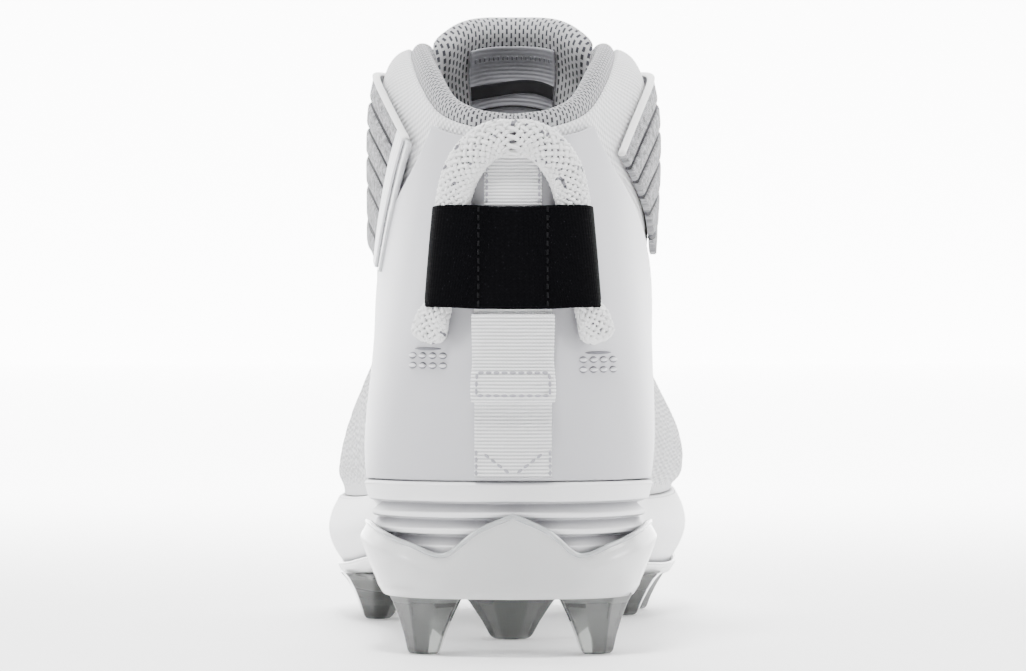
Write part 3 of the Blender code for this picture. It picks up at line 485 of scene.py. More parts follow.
def with_metres(grid):
    """A grid and its texture grid: metres run along its first way and its second."""
    u, v = (running(np.linalg.norm(np.diff(grid, axis=way), axis=2).mean(axis=1 - way))
            for way in (0, 1))
    return grid, np.stack(np.meshgrid(u, v, indexing="ij"), -1)


def relax(points, times):
    """Points evened along their first way, its two ends kept."""
    for _ in range(times):
        points[1:-1] = 0.25 * points[:-2] + 0.5 * points[1:-1] + 0.25 * points[2:]
    return points


def to_end(count):
    """Steps from each place of a run to the nearer end."""
    return np.minimum(np.arange(count), np.arange(count)[::-1])


def round_end(share, least=0.0):
    """Size along a rounded end: 0 at its tip, where share is 0, and 1 from share 1 on."""
    return np.sqrt(1.0 - (1.0 - np.clip(share, least, 1.0)) ** 2)


def edge_steps(length, radius, count):
    """Distances along a strip, close together at both of its rounded edges."""
    near = radius * (1.0 - np.cos(np.linspace(0.0, pi / 2.0, 5)))
    middle = np.linspace(radius, length - radius, count)[1:-1]
    return np.concatenate((near, middle, length - near[::-1]))


def cushion(surface, size, count, thick, radius):
    """Raised patch on a surface(u, v, off): u and v are shares of its size in metres;
    its edges are rounded and drop to the surface. Returns its grid and texture grid."""
    steps = [edge_steps(s, radius, c) for s, c in zip(size, count)]
    steps = [np.concatenate((s[:1], s, s[-1:])) for s in steps]
    drops = []
    for s, length in zip(steps, size):
        near = np.minimum(np.minimum(s, length - s), radius)
        drop = radius - np.sqrt(np.maximum(radius ** 2 - (radius - near) ** 2, 0.0))
        drop[[0, -1]] = thick
        drops.append(drop)
    off = thick - np.maximum(drops[0][:, None], drops[1][None, :])
    u, v = np.meshgrid(steps[0], steps[1], indexing="ij")
    return surface(u / size[0], v / size[1], off), np.stack((u, v), -1)


def ring_tube(path, side, up, half_side, half_up, sides):
    """Grid of an oval tube along a path, its sizes given per step, with closed ends."""
    a = np.linspace(0.0, 2.0 * pi, sides + 1)
    half_side = np.broadcast_to(half_side, len(path))
    half_up = np.broadcast_to(half_up, len(path))
    rings = (path[:, None] + side[:, None] * (half_side[:, None] * np.cos(a))[..., None]
             + up[:, None] * (half_up[:, None] * np.sin(a))[..., None])
    first = np.repeat(path[:1, None], sides + 1, axis=1)
    last = np.repeat(path[-1:, None], sides + 1, axis=1)
    rings = np.concatenate((first, rings, last))
    run = running(np.linalg.norm(np.diff(path, axis=0), axis=1))
    run = np.concatenate((run[:1], run, run[-1:]))
    girth = a * float(np.mean(half_side) + np.mean(half_up)) * 0.5
    return rings, np.stack(np.meshgrid(run, girth, indexing="ij"), -1)


def frames(path, normals):
    """Forward, sideways and upward directions along a path, up close to the normals."""
    ahead = unit(np.gradient(path, axis=0))
    side = unit(np.cross(normals, ahead))
    return ahead, side, np.cross(ahead, side)


# Painted cavity shade: rays per point, and the openness that counts as deep or as open
CAVITY_SAMPLES = 6
CAVITY_DEEP = 0.30
CAVITY_OPEN = 0.85


class Look:
    """A material built from a few plain steps, its patterns laid out in metres."""

    def __init__(self, name, colour, rough):
        self.material = bpy.data.materials.new(name)
        self.material.use_nodes = True
        self.tree = self.material.node_tree
        self.shader = self.tree.nodes["Principled BSDF"]
        self.shader.inputs["Base Color"].default_value = tuple(colour) + (1.0,)
        self.shader.inputs["Roughness"].default_value = rough
        self.parts = {}

    def set(self, socket, value):
        """One shader socket to one value."""
        self.shader.inputs[socket].default_value = value
        return self

    def node(self, kind, **values):
        """New node with its plain settings."""
        node = self.tree.nodes.new(kind)
        for key, value in values.items():
            setattr(node, key, value)
        return node

    def feed(self, socket, value):
        """A number or another node's output into a socket."""
        if isinstance(value, (int, float)):
            socket.default_value = value
        else:
            self.tree.links.new(value, socket)

    def math(self, how, a, b=0.0):
        """One sum on numbers or outputs."""
        node = self.node("ShaderNodeMath", operation=how)
        self.feed(node.inputs[0], a)
        self.feed(node.inputs[1], b)
        return node.outputs[0]

    def place(self):
        """Texture place along (0) and across (1), in metres."""
        if "place" not in self.parts:
            uv = self.node("ShaderNodeUVMap", uv_map="metres")
            split = self.node("ShaderNodeSeparateXYZ")
            self.tree.links.new(uv.outputs[0], split.inputs[0])
            self.parts["place"] = (split.outputs[0], split.outputs[1], uv.outputs[0])
        return self.parts["place"]

    def wave(self, way, pitch):
        """Even wave from -1 to 1 with a pitch in metres."""
        return self.math("SINE", self.math("MULTIPLY", self.place()[way], 2.0 * pi / pitch))

    def weave(self, pitch_u, pitch_v):
        """Waves along and across, multiplied: bumps from -1 to 1."""
        return self.math("MULTIPLY", self.wave(0, pitch_u), self.wave(1, pitch_v))

    def share(self, value):
        """A value from -1 to 1 as a share from 0 to 1."""
        return self.math("ADD", self.math("MULTIPLY", value, 0.5), 0.5)

    def noise(self, scale, detail=2.0, local=False):
        """Noise from 0 to 1, scale counts per metre. Local noise runs through the object's
        own space, so that strands don't repeat it."""
        node = self.node("ShaderNodeTexNoise")
        node.inputs["Scale"].default_value = scale
        node.inputs["Detail"].default_value = detail
        vector = (self.node("ShaderNodeTexCoord").outputs["Object"] if local
                  else self.place()[2])
        self.feed(node.inputs["Vector"], vector)
        return node.outputs["Fac"]

    def dashes(self, pitch_u, pitch_v, fill_u, fill_v, way=0):
        """1 inside short dashes set in staggered rows across a way, 0 between them."""
        column = self.math("MULTIPLY", self.place()[way], 1.0 / pitch_u)
        stagger = self.math("MULTIPLY", self.math("FLOOR", column), 0.5)
        line = self.math("MULTIPLY", self.place()[1 - way], 1.0 / pitch_v)
        line = self.math("ADD", line, stagger)
        in_u = self.math("LESS_THAN", self.math("FRACT", column), fill_u)
        in_v = self.math("LESS_THAN", self.math("FRACT", line), fill_v)
        return self.math("MULTIPLY", in_u, in_v)

    def tint(self, factor, low, high):
        """Base colour from low to high by a factor."""
        ramp = self.node("ShaderNodeMix", data_type="RGBA")
        self.feed(ramp.inputs["Factor"], factor)
        ramp.inputs[6].default_value = tuple(low) + (1.0,)
        ramp.inputs[7].default_value = tuple(high) + (1.0,)
        self.tree.links.new(ramp.outputs[2], self.shader.inputs["Base Color"])
        return self

    def painted_cavity_shade(self, reach, low, high):
        """Base colour from low deep in a groove to high on open faces: painted shade, found
        by ambient occlusion.
        """
        hollow = self.node("ShaderNodeAmbientOcclusion", samples=CAVITY_SAMPLES)
        hollow.inputs["Distance"].default_value = reach
        ease = self.node("ShaderNodeMapRange")
        self.feed(ease.inputs["Value"], hollow.outputs["AO"])
        ease.inputs["From Min"].default_value = CAVITY_DEEP
        ease.inputs["From Max"].default_value = CAVITY_OPEN
        return self.tint(ease.outputs[0], low, high)

    def bump(self, height, distance, strength=1.0):
        """Relief of a height from 0 to 1 over a distance in metres."""
        node = self.node("ShaderNodeBump")
        node.inputs["Distance"].default_value = distance
        node.inputs["Strength"].default_value = strength
        self.feed(node.inputs["Height"], height)
        self.tree.links.new(node.outputs["Normal"], self.shader.inputs["Normal"])
        return self


# Colours, as the shoe's whites and greys in flat light; the foam's groove grey and the knit's
# dip grey are painted shade
FOAM_WHITE = (0.82, 0.82, 0.83)
FOAM_PAINTED_SHADE = (0.30, 0.30, 0.32)
SHELL_WHITE = (0.46, 0.46, 0.485)
KNIT_WHITE = (0.86, 0.86, 0.865)
KNIT_DIP_SHADE = (0.52, 0.52, 0.535)
PLATE_MILK = (0.93, 0.935, 0.935)
STUD_SMOKE = (0.13, 0.135, 0.13)

# Side ribs of the midsole: three grooves, each by its height at the heel, and the
# outline rows over which it runs out toward the sides
GROOVE = table("up fade_from fade_to", [
    (0.0325, 2.3, 3.1),
    (0.0370, 2.9, 3.9),
    (0.0413, 3.6, 4.9),
])
GROOVE_DEPTH = 0.0036
GROOVE_ABOVE = 0.0006
GROOVE_BELOW = 0.0027
FOAM_EDGE = 0.0010
WELL_INSIDE = 0.014

# How far the cup bulges out beside the heel, between which rows, and how soon below its
# rim; its clear rim is a bead that ends a little before the cup's last row
CUP_SWELL = 0.0030
CUP_SWELL_ROWS = ((0.5, 1.6), (3.0, 4.6))
CUP_EASE = 0.0050
BEAD_HALF = (0.0007, 0.0004)
BEAD_SHORT = 0.1
SAME_POINT = 0.00001

# Stud shape up from the floor: share of its height, then its half sizes in shares of the
# tip's, along the shoe and across it before the stud is turned. The flare scales how much
# it widens: a little for the two studs behind REAR_STUDS, more for the rest. The one
# between REAR_STUDS and MIDDLE_STUDS is also broader.
STUD_FLARE = 1.7
STUD_REAR_FLARE = 1.12
STUD_MIDDLE = 1.40
REAR_STUDS = 0.2
MIDDLE_STUDS = 0.5
STUD_ROOT_IN = 0.0006
STUD_TIP = (0.0050, 0.0044)
STUD_SHAPE = table("share wide deep", [
    (0.00, 0.86, 0.80),
    (0.03, 0.98, 0.96),
    (0.08, 1.04, 1.04),
    (0.30, 1.22, 1.25),
    (0.60, 1.55, 1.60),
    (0.85, 1.90, 1.95),
    (1.00, 2.20, 2.25),
])
STUD_FACETS = 8
STUD_BEVEL = 0.0005
STUD_BEVEL_FROM = radians(18.0)

# Heel blades: how the two rear studs carry on up the cup's side
BLADE_HALF = 0.0060
BLADE = table("up out back wide", [
    (0.0160, 0.0226, 0.0290, 0.0106),
    (0.0190, 0.0234, 0.0268, 0.0074),
    (0.0212, 0.0234, 0.0262, 0.0040),
])


def round_foot(places, inset, up):
    """Points of the outline, moved in toward the foot, at a height."""
    x, y = edge(places, inset)[:2]
    return np.stack((x, y, up + 0.0 * x), -1)


def across_foot(places, up):
    """Points on the foot's middle line level with the outline places."""
    return 0.5 * (round_foot(places, WELL_INSIDE, up)
                  + round_foot(LOOP - places, WELL_INSIDE, up))


def loop_places(heel_steps, fore_steps, heel_end=4.0):
    """Places round the whole loop, closer together round the heel, up to its end row."""
    near = np.linspace(0.0, heel_end, heel_steps, endpoint=False)
    half = np.concatenate((near, np.linspace(heel_end, LAST_ROW, fore_steps)))
    return np.concatenate((half, LOOP - half[-2::-1]))


def ring_piece(name, profile, look, node):
    """Closed band round the foot from a profile of points per place."""
    return piece(name, [with_metres(np.stack(profile, axis=1))], look, node)


def draw_midsole():
    """Foam cup with three pointed grooves round the heel and a rounded rim."""
    foam = Look("foam", FOAM_WHITE, 0.55)
    # painted shade: the foam's colour darkens deep in its grooves
    foam.painted_cavity_shade(0.007, FOAM_PAINTED_SHADE, FOAM_WHITE)
    foam.bump(foam.noise(900.0), 0.00012, 0.5)
    places = loop_places(100, 120)
    x = edge(places)[0]
    row = row_of(places)
    low, high = level("plate", x) + PLATE_THICK + GAP, level("rim", x)
    heel_low, heel_high = SOLE["plate"][0] + PLATE_THICK + GAP, SOLE["rim"][0]
    profile = [across_foot(places, low)]
    ease = FOAM_EDGE / (heel_high - heel_low)
    for share in np.linspace(0.0, 1.0 - ease, 100):
        inset = side_inset(x, share)
        for up, fade_from, fade_to in zip(*GROOVE.values()):
            miss = heel_low + share * (heel_high - heel_low) - up
            miss = miss / GROOVE_ABOVE if miss > 0.0 else -miss / GROOVE_BELOW
            reach = 1.0 - smooth(fade_from, fade_to, row)
            dip = np.clip(1.0 - miss / np.maximum(reach, 0.05), 0.0, 1.0)
            inset = inset + GROOVE_DEPTH * reach * dip
        profile.append(round_foot(places, inset, low + (high - low) * share))
    for a in np.linspace(0.0, pi / 2.0, 6):
        profile.append(round_foot(places, side_inset(x, 1.0) + FOAM_EDGE * (1.0 - np.cos(a)),
                                  high - FOAM_EDGE * (1.0 - np.sin(a))))
    bed = level("bed", x)
    for up in (high, bed):
        profile.append(round_foot(places, base_inset(x) + UPPER_WALL + RIM_LAND, up))
    profile.append(across_foot(places, bed))
    ring_piece("midsole_foam", profile, foam, "midsole")


def draw_cup():
    """Plate with its heel cup: a milky wall with a rounded, wavy top edge."""
    milk = Look("milky_plate", PLATE_MILK, 0.28)
    milk.set("Transmission Weight", 0.45).set("IOR", 1.45).set("Coat Weight", 0.4)
    milk.set("Subsurface Weight", 0.2).set("Subsurface Radius", (0.004, 0.004, 0.004))
    places = loop_places(140, 150)
    x = edge(places)[0]
    low = level("plate", x)
    bed = low + PLATE_THICK
    foam_low, foam_high = bed + GAP, level("rim", x)
    row = row_of(places)
    lip = bed + PLATE_LIP
    wavy = np.maximum(curve(CUP["row"], CUP["top"], row), lip)
    top = np.where(row < CUP["row"][-1], wavy, lip)
    swell = CUP_SWELL * hump(*CUP_SWELL_ROWS, row)
    half = 0.5 * PLATE_WALL

    def wall(up, off):
        share = np.maximum((up - foam_low) / (foam_high - foam_low), 0.0)
        if off > CUP_GAP + half:
            off = off + swell * smooth(0.0, CUP_EASE, top - up)
        return round_foot(places, side_inset(x, share) - off, up)

    outer = CUP_GAP + PLATE_WALL
    profile = [across_foot(places, low),
               round_foot(places, side_inset(x, 0.0) - half - swell, low)]
    for share in np.linspace(0.0, 1.0, 30):
        profile.append(wall(bed + (top - half - bed) * share, outer))
    for a in np.linspace(0.0, pi, 8):
        profile.append(wall(top - half + half * np.sin(a), CUP_GAP + half + half * np.cos(a)))
    for share in np.linspace(1.0, 0.0, 10):
        profile.append(wall(bed + (top - half - bed) * share, CUP_GAP))
    profile.append(across_foot(places, bed))
    ring_piece("plate_cup", profile, milk, "outsole_plate")
    # painted shade: the clear rim bead is grey to draw the dark line that refraction shows
    # along the cup's edge
    rim = Look("clear_rim", (0.62, 0.64, 0.65), 0.12)
    rim.set("Transmission Weight", 0.5).set("Coat Weight", 0.6)
    keep = np.where(row < CUP["row"][-1] - BEAD_SHORT)[0]
    from_heel = np.where(places > LAST_ROW, places - LOOP, places)
    keep = keep[np.argsort(from_heel[keep])]
    path = wall(top - BEAD_HALF[1], outer)[keep]
    gaps = np.linalg.norm(np.diff(path, axis=0), axis=1)
    path = path[np.append(True, gaps > SAME_POINT)]
    normals = np.stack((*edge(places[keep])[2:], 0.0 * keep), -1)[:len(path)]
    _, side, up = frames(path, normals)
    bead = ring_tube(path, side, up, *BEAD_HALF, 8)
    piece("plate_rim", [bead], rim, "outsole_plate")


def draw_studs():
    """Clear studs with flat facets, the two rear ones carried up the cup as blades."""
    smoke = Look("smoky_clear", STUD_SMOKE, 0.05)
    smoke.set("Transmission Weight", 0.75).set("IOR", 1.42).set("Coat Weight", 0.5)
    angles = np.linspace(0.0, 2.0 * pi, STUD_FACETS + 1) + pi / STUD_FACETS
    grids = []
    for along, out, turn, ahead, aside in zip(*STUDS.values()):
        x, y = along * SOLE_LENGTH, out * BALL_WIDTH
        root = float(level("plate", np.array(x))) + STUD_ROOT_IN
        turn = radians(turn)
        rear = along < REAR_STUDS
        flare = STUD_REAR_FLARE if rear else STUD_FLARE
        broad = STUD_MIDDLE if REAR_STUDS < along < MIDDLE_STUDS else 1.0
        rings = []
        for share, wide, deep in zip(*STUD_SHAPE.values()):
            wide, deep = 1.0 + flare * (wide - 1.0), 1.0 + flare * (deep - 1.0)
            px = STUD_TIP[0] * wide * np.cos(angles)
            py = STUD_TIP[1] * broad * deep * np.sin(angles)
            rings.append(np.stack((
                x + ahead * BALL_WIDTH * share + px * np.cos(turn) - py * np.sin(turn),
                y + aside * BALL_WIDTH * share + px * np.sin(turn) + py * np.cos(turn),
                0.0 * angles + root * share), -1))
        for up, reach, back, wide in zip(*BLADE.values()):
            if rear and up > root:
                rings.append(np.stack((back + BLADE_HALF * np.cos(angles),
                                       np.sign(out) * reach + wide * np.sin(angles),
                                       0.0 * angles + up), -1))
        centre = np.array((x, y, 0.0)) + 0.0 * rings[0]
        end = rings[-1].mean(axis=0, keepdims=True) + 0.0 * rings[0]
        grids.append(with_metres(np.stack([centre] + rings + [end])))
    studs = piece("plate_studs", grids, smoke, "outsole_plate")
    studs.data.shade_flat()
    soften = studs.modifiers.new("soft_edges", "BEVEL")
    soften.width = STUD_BEVEL
    soften.segments = 2
    soften.limit_method = "ANGLE"
    soften.angle_limit = STUD_BEVEL_FROM


def draw_shell():
    """Smooth matte heel shell with a rounded, visible edge."""
    matte = Look("shell_matte", SHELL_WHITE, 0.42)
    matte.bump(matte.noise(1500.0), 0.00006, 0.4)

    def surface(u, v, off):
        share = SHELL_FOOT + (SHELL_TOP - SHELL_FOOT) * v
        place = (2.0 * u - 1.0) * curve(SHELL_EDGE["share"], SHELL_EDGE["row"], v)
        return skin_off(place, share, SHELL_OFF + off)

    grid = cushion(surface, SHELL_SIZE, (170, 110), SHELL_WALL, SHELL_ROUND)
    piece("shell", [grid], matte, "heel_shell")


# Studio: strength of the sky, of the floor, which rises from FLOOR_FROM to FLOOR_TO
# metres ahead of the shoe's middle, and of the backdrop; then each light: its name, place and
# target, size and power
WORLD_LIGHT = 0.17
FLOOR_WHITE = (0.93, 0.93, 0.93)
FLOOR_SIZE = 14.0
BACKDROP_SIZE = 24.0
FLOOR_LIGHT = 0.08
FLOOR_FAR_LIGHT = 6.4
FLOOR_FROM = -0.05
FLOOR_TO = 1.15
BACKDROP_LIGHT = 7.0
BACKDROP_PLACE = 6.5
LIGHTS = (
    ("left_light", (-0.35, 1.2, 0.5), (0.0, 0.0, 0.08), 0.5, 10.0),
    ("right_light", (-0.15, -1.2, 0.45), (0.0, 0.0, 0.08), 0.5, 13.0),
    ("top_light", (-0.55, 0.1, 1.15), (-0.1, 0.0, 0.05), 0.28, 24.0),
)


# Raised slanted scales of the forefoot knit: pitch along, slant, height, both slopes in
# shares of the pitch, and the rows and shares of the skin's height where they stand
SCALE_PITCH = 0.0046
SCALE_SLANT = 0.55
SCALE_HEIGHT = 0.0018
SCALE_SLOPES = ((0.0, 0.25), (0.35, 1.0))
SCALE_ROWS = ((4.2, 5.0), (8.8, 9.8))
SCALE_UP = ((0.02, 0.1), (0.55, 0.72))

# Collar roll and tongue
ROLL_HALF = (0.0034, 0.0048)
ROLL_LIFT = 0.0008
ROLL_END = 6.0
ROLL_SINK = 0.0042
ROLL_STEPS = 240
ROLL_END_STEPS = 14.0
TONGUE_SINK = 0.0014
TONGUE_HALF_WIDTH = 0.0265
TONGUE_NECK = 0.0215
TONGUE_THICK = 0.0040
TONGUE_TOP_THICK = 0.0074
TONGUE_FRONT = 10.9
TONGUE_BACK = 6.2
TONGUE_WIDEN = 1.4
TONGUE_TOP = (0.1150, 0.1760)
TONGUE_TOP_HALF = 0.0252
TONGUE_TOP_WRAP = 0.0110
TONGUE_TOP_ROUND = 0.0085

# Tongue label: half width, thickness, distance off the tongue, span in shares of the
# tongue's width, lower and upper edge above the floor, height of its dark band, and the
# shares of its height where rules stand
LABEL_HALF = 0.0148
LABEL_THICK = 0.0007
LABEL_OFF = 0.0004
LABEL_COLUMNS = (0.18, 0.82)
LABEL_UP = (0.1410, 0.1672)
LABEL_BAND = 0.0035
LABEL_RULES = (0.10, 0.22, 0.36)


def draw_upper():
    """Hollow knit upper: raised scales in front, fine knit bumps, rounded rim, lining."""
    knit = Look("coarse_knit", KNIT_WHITE, 0.8)
    knit.set("Sheen Weight", 0.2)
    bumps = knit.share(knit.weave(0.0021, 0.0017))
    # painted shade: the knit's colour darkens in the dips between its bumps
    knit.tint(bumps, KNIT_DIP_SHADE, KNIT_WHITE)
    knit.bump(bumps, 0.0006, 0.8)
    places = loop_places(110, 190, heel_end=5.0)[:, None]
    v = np.linspace(0.0, 1.0, 110)[None, :]
    row = row_of(places)
    base = skin(places, v)
    slanted = base[..., 0] + SCALE_SLANT * base[..., 2]
    saw = np.mod(slanted / SCALE_PITCH, 1.0)
    ridge = hump(*SCALE_SLOPES, saw)
    where = hump(*SCALE_ROWS, row) * hump(*SCALE_UP, v)
    normals = skin_normal(places, v)
    outer = base + (normals * (SCALE_HEIGHT * ridge * where)[..., None])
    wall = UPPER_WALL * (1.0 - smooth(THROAT_ROW - 0.5, THROAT_ROW, row[:, 0]))
    last = normals[:, -1]
    rise = unit(skin(places[:, 0], 1.0) - skin(places[:, 0], 0.985))
    middle = outer[:, -1] - last * 0.5 * wall[:, None]
    rim = np.stack([middle + 0.5 * wall[:, None] * (last * np.cos(a) + rise * np.sin(a))
                    for a in np.linspace(0.0, pi, 8)], axis=1)
    grid = np.concatenate((outer, rim[:, 1:]), axis=1)
    piece("bootie", [with_metres(grid)], knit, "upper")
    inside = Look("lining_knit", (0.62, 0.62, 0.63), 0.9)
    inside.bump(inside.dashes(0.0016, 0.0020, 0.5, 0.6), 0.0003, 0.6)
    inner = (base - normals * UPPER_WALL)[:, -2::-1]
    lining = np.concatenate((rim[:, -1:], inner), axis=1)
    piece("bootie_lining", [with_metres(lining)], inside, "upper")


def spacer_mesh(name, light, dark, pitch, way):
    """Padded mesh with staggered dark slits: painted shade in its openings."""
    look = Look(name, light, 0.85)
    holes = look.dashes(pitch, 1.9 * pitch, 0.46, 0.66, way)
    look.tint(holes, light, dark)
    look.bump(look.math("SUBTRACT", 1.0, holes), 0.0006, 0.9)
    return look


def draw_collar():
    """Padded roll inside the collar rim."""
    mesh = spacer_mesh("collar_mesh", (0.34, 0.34, 0.35), (0.03, 0.03, 0.035), 0.00105, 0)
    places = np.linspace(-ROLL_END, ROLL_END, ROLL_STEPS)
    path = skin(places, 1.0)
    normal = skin_normal(places, 1.0)
    flat = unit(normal * (1.0, 1.0, 0.0))
    path = path - flat * (UPPER_WALL * 0.4 + GAP + ROLL_HALF[0])
    path[:, 2] += ROLL_LIFT - ROLL_SINK * smooth(2.8, 5.0, np.abs(places))
    size = round_end(to_end(ROLL_STEPS) / ROLL_END_STEPS, 0.02)
    up = 0.0 * path + (0.0, 0.0, 1.0)
    tube = ring_tube(path, flat, up, ROLL_HALF[0] * size, ROLL_HALF[1] * size, 28)
    roll = piece("collar_pad", [tube], mesh, "collar_roll")


def tongue_lines():
    """Cross lines of the tongue's outer face from its front end to its top."""
    shares = np.linspace(-1.0, 1.0, 41)
    lines = []
    for row in np.linspace(TONGUE_FRONT, TONGUE_BACK, 30):
        reach = np.linspace(-0.86, 0.86, 121)
        line = relax(cover(row, reach, -(UPPER_WALL + TONGUE_SINK)), 14)
        runs = running(np.linalg.norm(np.diff(line, axis=0), axis=1))
        widen = smooth(TONGUE_BACK, TONGUE_BACK + TONGUE_WIDEN, row)
        half = TONGUE_NECK + (TONGUE_HALF_WIDTH - TONGUE_NECK) * widen
        at = 0.5 * runs[-1] + shares * min(half, 0.48 * runs[-1])
        lines.append(np.stack([np.interp(at, runs, line[:, k]) for k in range(3)], -1))
    last = lines[-1]
    top = np.stack((TONGUE_TOP[0] - TONGUE_TOP_WRAP * shares ** 2, TONGUE_TOP_HALF * shares,
                    TONGUE_TOP[1] - TONGUE_TOP_ROUND * shares ** 4), -1)
    for k in np.linspace(0.0, 1.0, 26)[1:]:
        lines.append(last + (top - last) * np.array((k ** 0.7, k, k)))
    return np.array(lines)


def draw_tongue():
    """Padded tongue with a thick top; gives its lines, normals and thickness."""
    mesh = spacer_mesh("tongue_mesh", (0.50, 0.50, 0.51), (0.06, 0.06, 0.07), 0.0013, 1)
    lines = tongue_lines()
    along, across = np.gradient(lines, axis=0), np.gradient(lines, axis=1)
    normal = unit(np.cross(across, along))
    count, wide = lines.shape[:2]
    rows = np.arange(count)[:, None]
    swell = smooth(count - 16.0, count - 4.0, rows)
    thick = TONGUE_THICK + (TONGUE_TOP_THICK - TONGUE_THICK) * swell
    side = round_end(to_end(wide)[None, :] / 3.0)
    end = round_end((count - 1.0 - rows) / 4.0)
    full = (thick * side * end)[..., None]
    middle = lines - normal * (0.5 * thick)[..., None]
    outer, inner = middle + 0.5 * normal * full, middle - 0.5 * normal * full
    pad = piece("tongue_pad", [with_metres(outer), with_metres(inner)], mesh, "tongue")
    return lines, normal, thick


def draw_label(lines, normal, thick):
    """Grey satin label on the tongue's inner side: a dark band and plain rules, no print."""
    satin = Look("label_satin", (0.34, 0.34, 0.37), 0.5)
    satin.bump(satin.share(satin.wave(1, 0.0011)), 0.00015, 0.5)
    inner = lines - normal * thick[..., None]
    wide = lines.shape[1]

    def on_tongue(u, v, off):
        up = LABEL_UP[0] + (LABEL_UP[1] - LABEL_UP[0]) * v
        y = LABEL_HALF * (2.0 * u - 1.0)
        heights = inner[:, wide // 2, 2]
        start = int(np.argmax(heights > LABEL_UP[0] - 0.02))
        row = start + np.interp(up, heights[start:], np.arange(len(heights) - start))
        i = np.clip(np.floor(row).astype(int), 0, len(inner) - 2)
        t = (row - i)[..., None]
        shares = np.interp(y / LABEL_HALF, (-1, 1), LABEL_COLUMNS) * (wide - 1)
        j = np.clip(np.floor(shares).astype(int), 0, wide - 2)
        s = (shares - j)[..., None]
        here = ((1 - t) * (1 - s) * inner[i, j] + t * (1 - s) * inner[i + 1, j]
                + (1 - t) * s * inner[i, j + 1] + t * s * inner[i + 1, j + 1])
        return here - normal[i, j] * (LABEL_OFF + off)[..., None]

    size = (2.0 * LABEL_HALF, LABEL_UP[1] - LABEL_UP[0])
    grid = cushion(on_tongue, size, (40, 30), LABEL_THICK, 0.0003)
    piece("tongue_label", [grid], satin, "tongue")

    def strip(across, up, wave, *shape):
        """Raised strip on the label between two shares of its width and of its height."""
        def surface(u, v, off):
            return on_tongue(across[0] + (across[1] - across[0]) * u,
                             up[0] + (up[1] - up[0]) * v + wave * np.sin(2.0 * pi * u),
                             LABEL_THICK + off)
        return cushion(surface, *shape)

    black = Look("label_black", (0.012, 0.012, 0.014), 0.45)
    band = strip((0.0, 1.0), (0.50, 0.64), 0.018,
                 (2.0 * LABEL_HALF, LABEL_BAND), (40, 8), 0.0003, 0.0001)
    piece("label_band", [band], black, "tongue")
    rules = [strip((0.08, 0.92), (up, up + 0.02), 0.0,
                   (1.7 * LABEL_HALF, 0.0005), (30, 3), 0.0002, 0.0001)
             for up in LABEL_RULES]
    piece("label_rules", rules, black, "tongue")
    thread = Look("thread_grey", (0.20, 0.20, 0.22), 0.7)
    dots = [strip((u - 0.010, u + 0.010), (0.86, 0.90), 0.0,
                  (0.0012, 0.0008), (4, 3), 0.0003, 0.0002)
            for u in np.linspace(0.06, 0.94, 17)]
    piece("label_stitches", dots, thread, "tongue")


def draw_insole():
    """Loose footbed with a raised edge."""
    knit = Look("footbed_knit", (0.55, 0.55, 0.56), 0.9)
    knit.bump(knit.weave(0.0014, 0.0014), 0.0002, 0.5)
    places = loop_places(70, 90)
    x = edge(places)[0]
    inside = base_inset(x) + UPPER_WALL + RIM_LAND + GAP
    low = level("bed", x) + GAP
    profile = [across_foot(places, low)]
    for more, up in zip(*INSOLE_EDGE.values()):
        profile.append(round_foot(places, inside + more, low + up))
    profile.append(across_foot(places, low + INSOLE_EDGE["up"][-1]))
    ring_piece("footbed", profile, knit, "insole")


# Ankle strap: its pressed grooves in shares of its height, the piping on its top edge,
# its clear tip with the length tucked under it, and the welded stripe beside the tip
STRAP_THICK = 0.0018
PIPING_HALF = (0.5 * STRAP_THICK + 0.0002, 0.0007)
STRAP_HEIGHT = 0.044
STRAP_LENGTH = 0.235
STRAP_GROOVES = (0.12, 0.29, 0.46, 0.63, 0.80)
STRAP_GROOVE_HALF = 0.0008
STRAP_GROOVE_DEPTH = 0.0012
TIP_LENGTH = 0.0035
TIP_ROUND = 0.0004
TIP_TUCK = 0.0010
WELD_LENGTH = 0.0062

# Heel pull: tab, its folded upper layer, band, cord and stitches
HEEL_BASE = SHELL_OFF + SHELL_WALL + GAP
TAB_WIDTH = 0.0186
FOLD_HALF = 0.0095
TAB_THICK = 0.0011
TAB_NARROW = 0.74
TAB_UP = (0.0485, 0.1325)
TAB_RIB = 0.0009
TAB_RIB_HEIGHT = 0.00022
TAB_OUTER = 0.0005
FOLD_UP = (0.0680, 0.0905)
FOLD_THICK = 0.0015
FOLD_SINK = 0.0001
FOLD_OFF_LOW = 0.0019
FOLD_OFF_HIGH = 0.0008
FOLD_LOW_SPAN = ((-0.10, 0.10), (0.15, 0.50))
FOLD_HIGH_SPAN = (0.45, 0.95)
BAND_UP = (0.0920, 0.1190)
BAND_THICK = 0.0012
BAND_PINCH = 0.0935
BAND_NARROW = 0.955
BAND_WIDTH = 0.062
SEAM_OUT = 0.0088
SEAM_STITCHES = 12
SEAM_HALF = (0.00028, 0.00025)
CORD_HALF_THICK = 0.0024
CORD_REST = 0.008
CORD_SLOPE = 0.007

# Stitches on the tab, as (out, up) places: half width, foot and top of the box on its
# fold, and on each side the runs from and to, with how many stitches each has
STITCH_BOX = (0.0080, 0.0696, 0.0754)
TAB_STITCHES = (
    ((0.0088, 0.0492), (0.0088, 0.0560), 4),
    ((0.0070, 0.0550), (0.0008, 0.0500), 4),
    ((0.0062, 0.1200), (0.0062, 0.1300), 6),
)

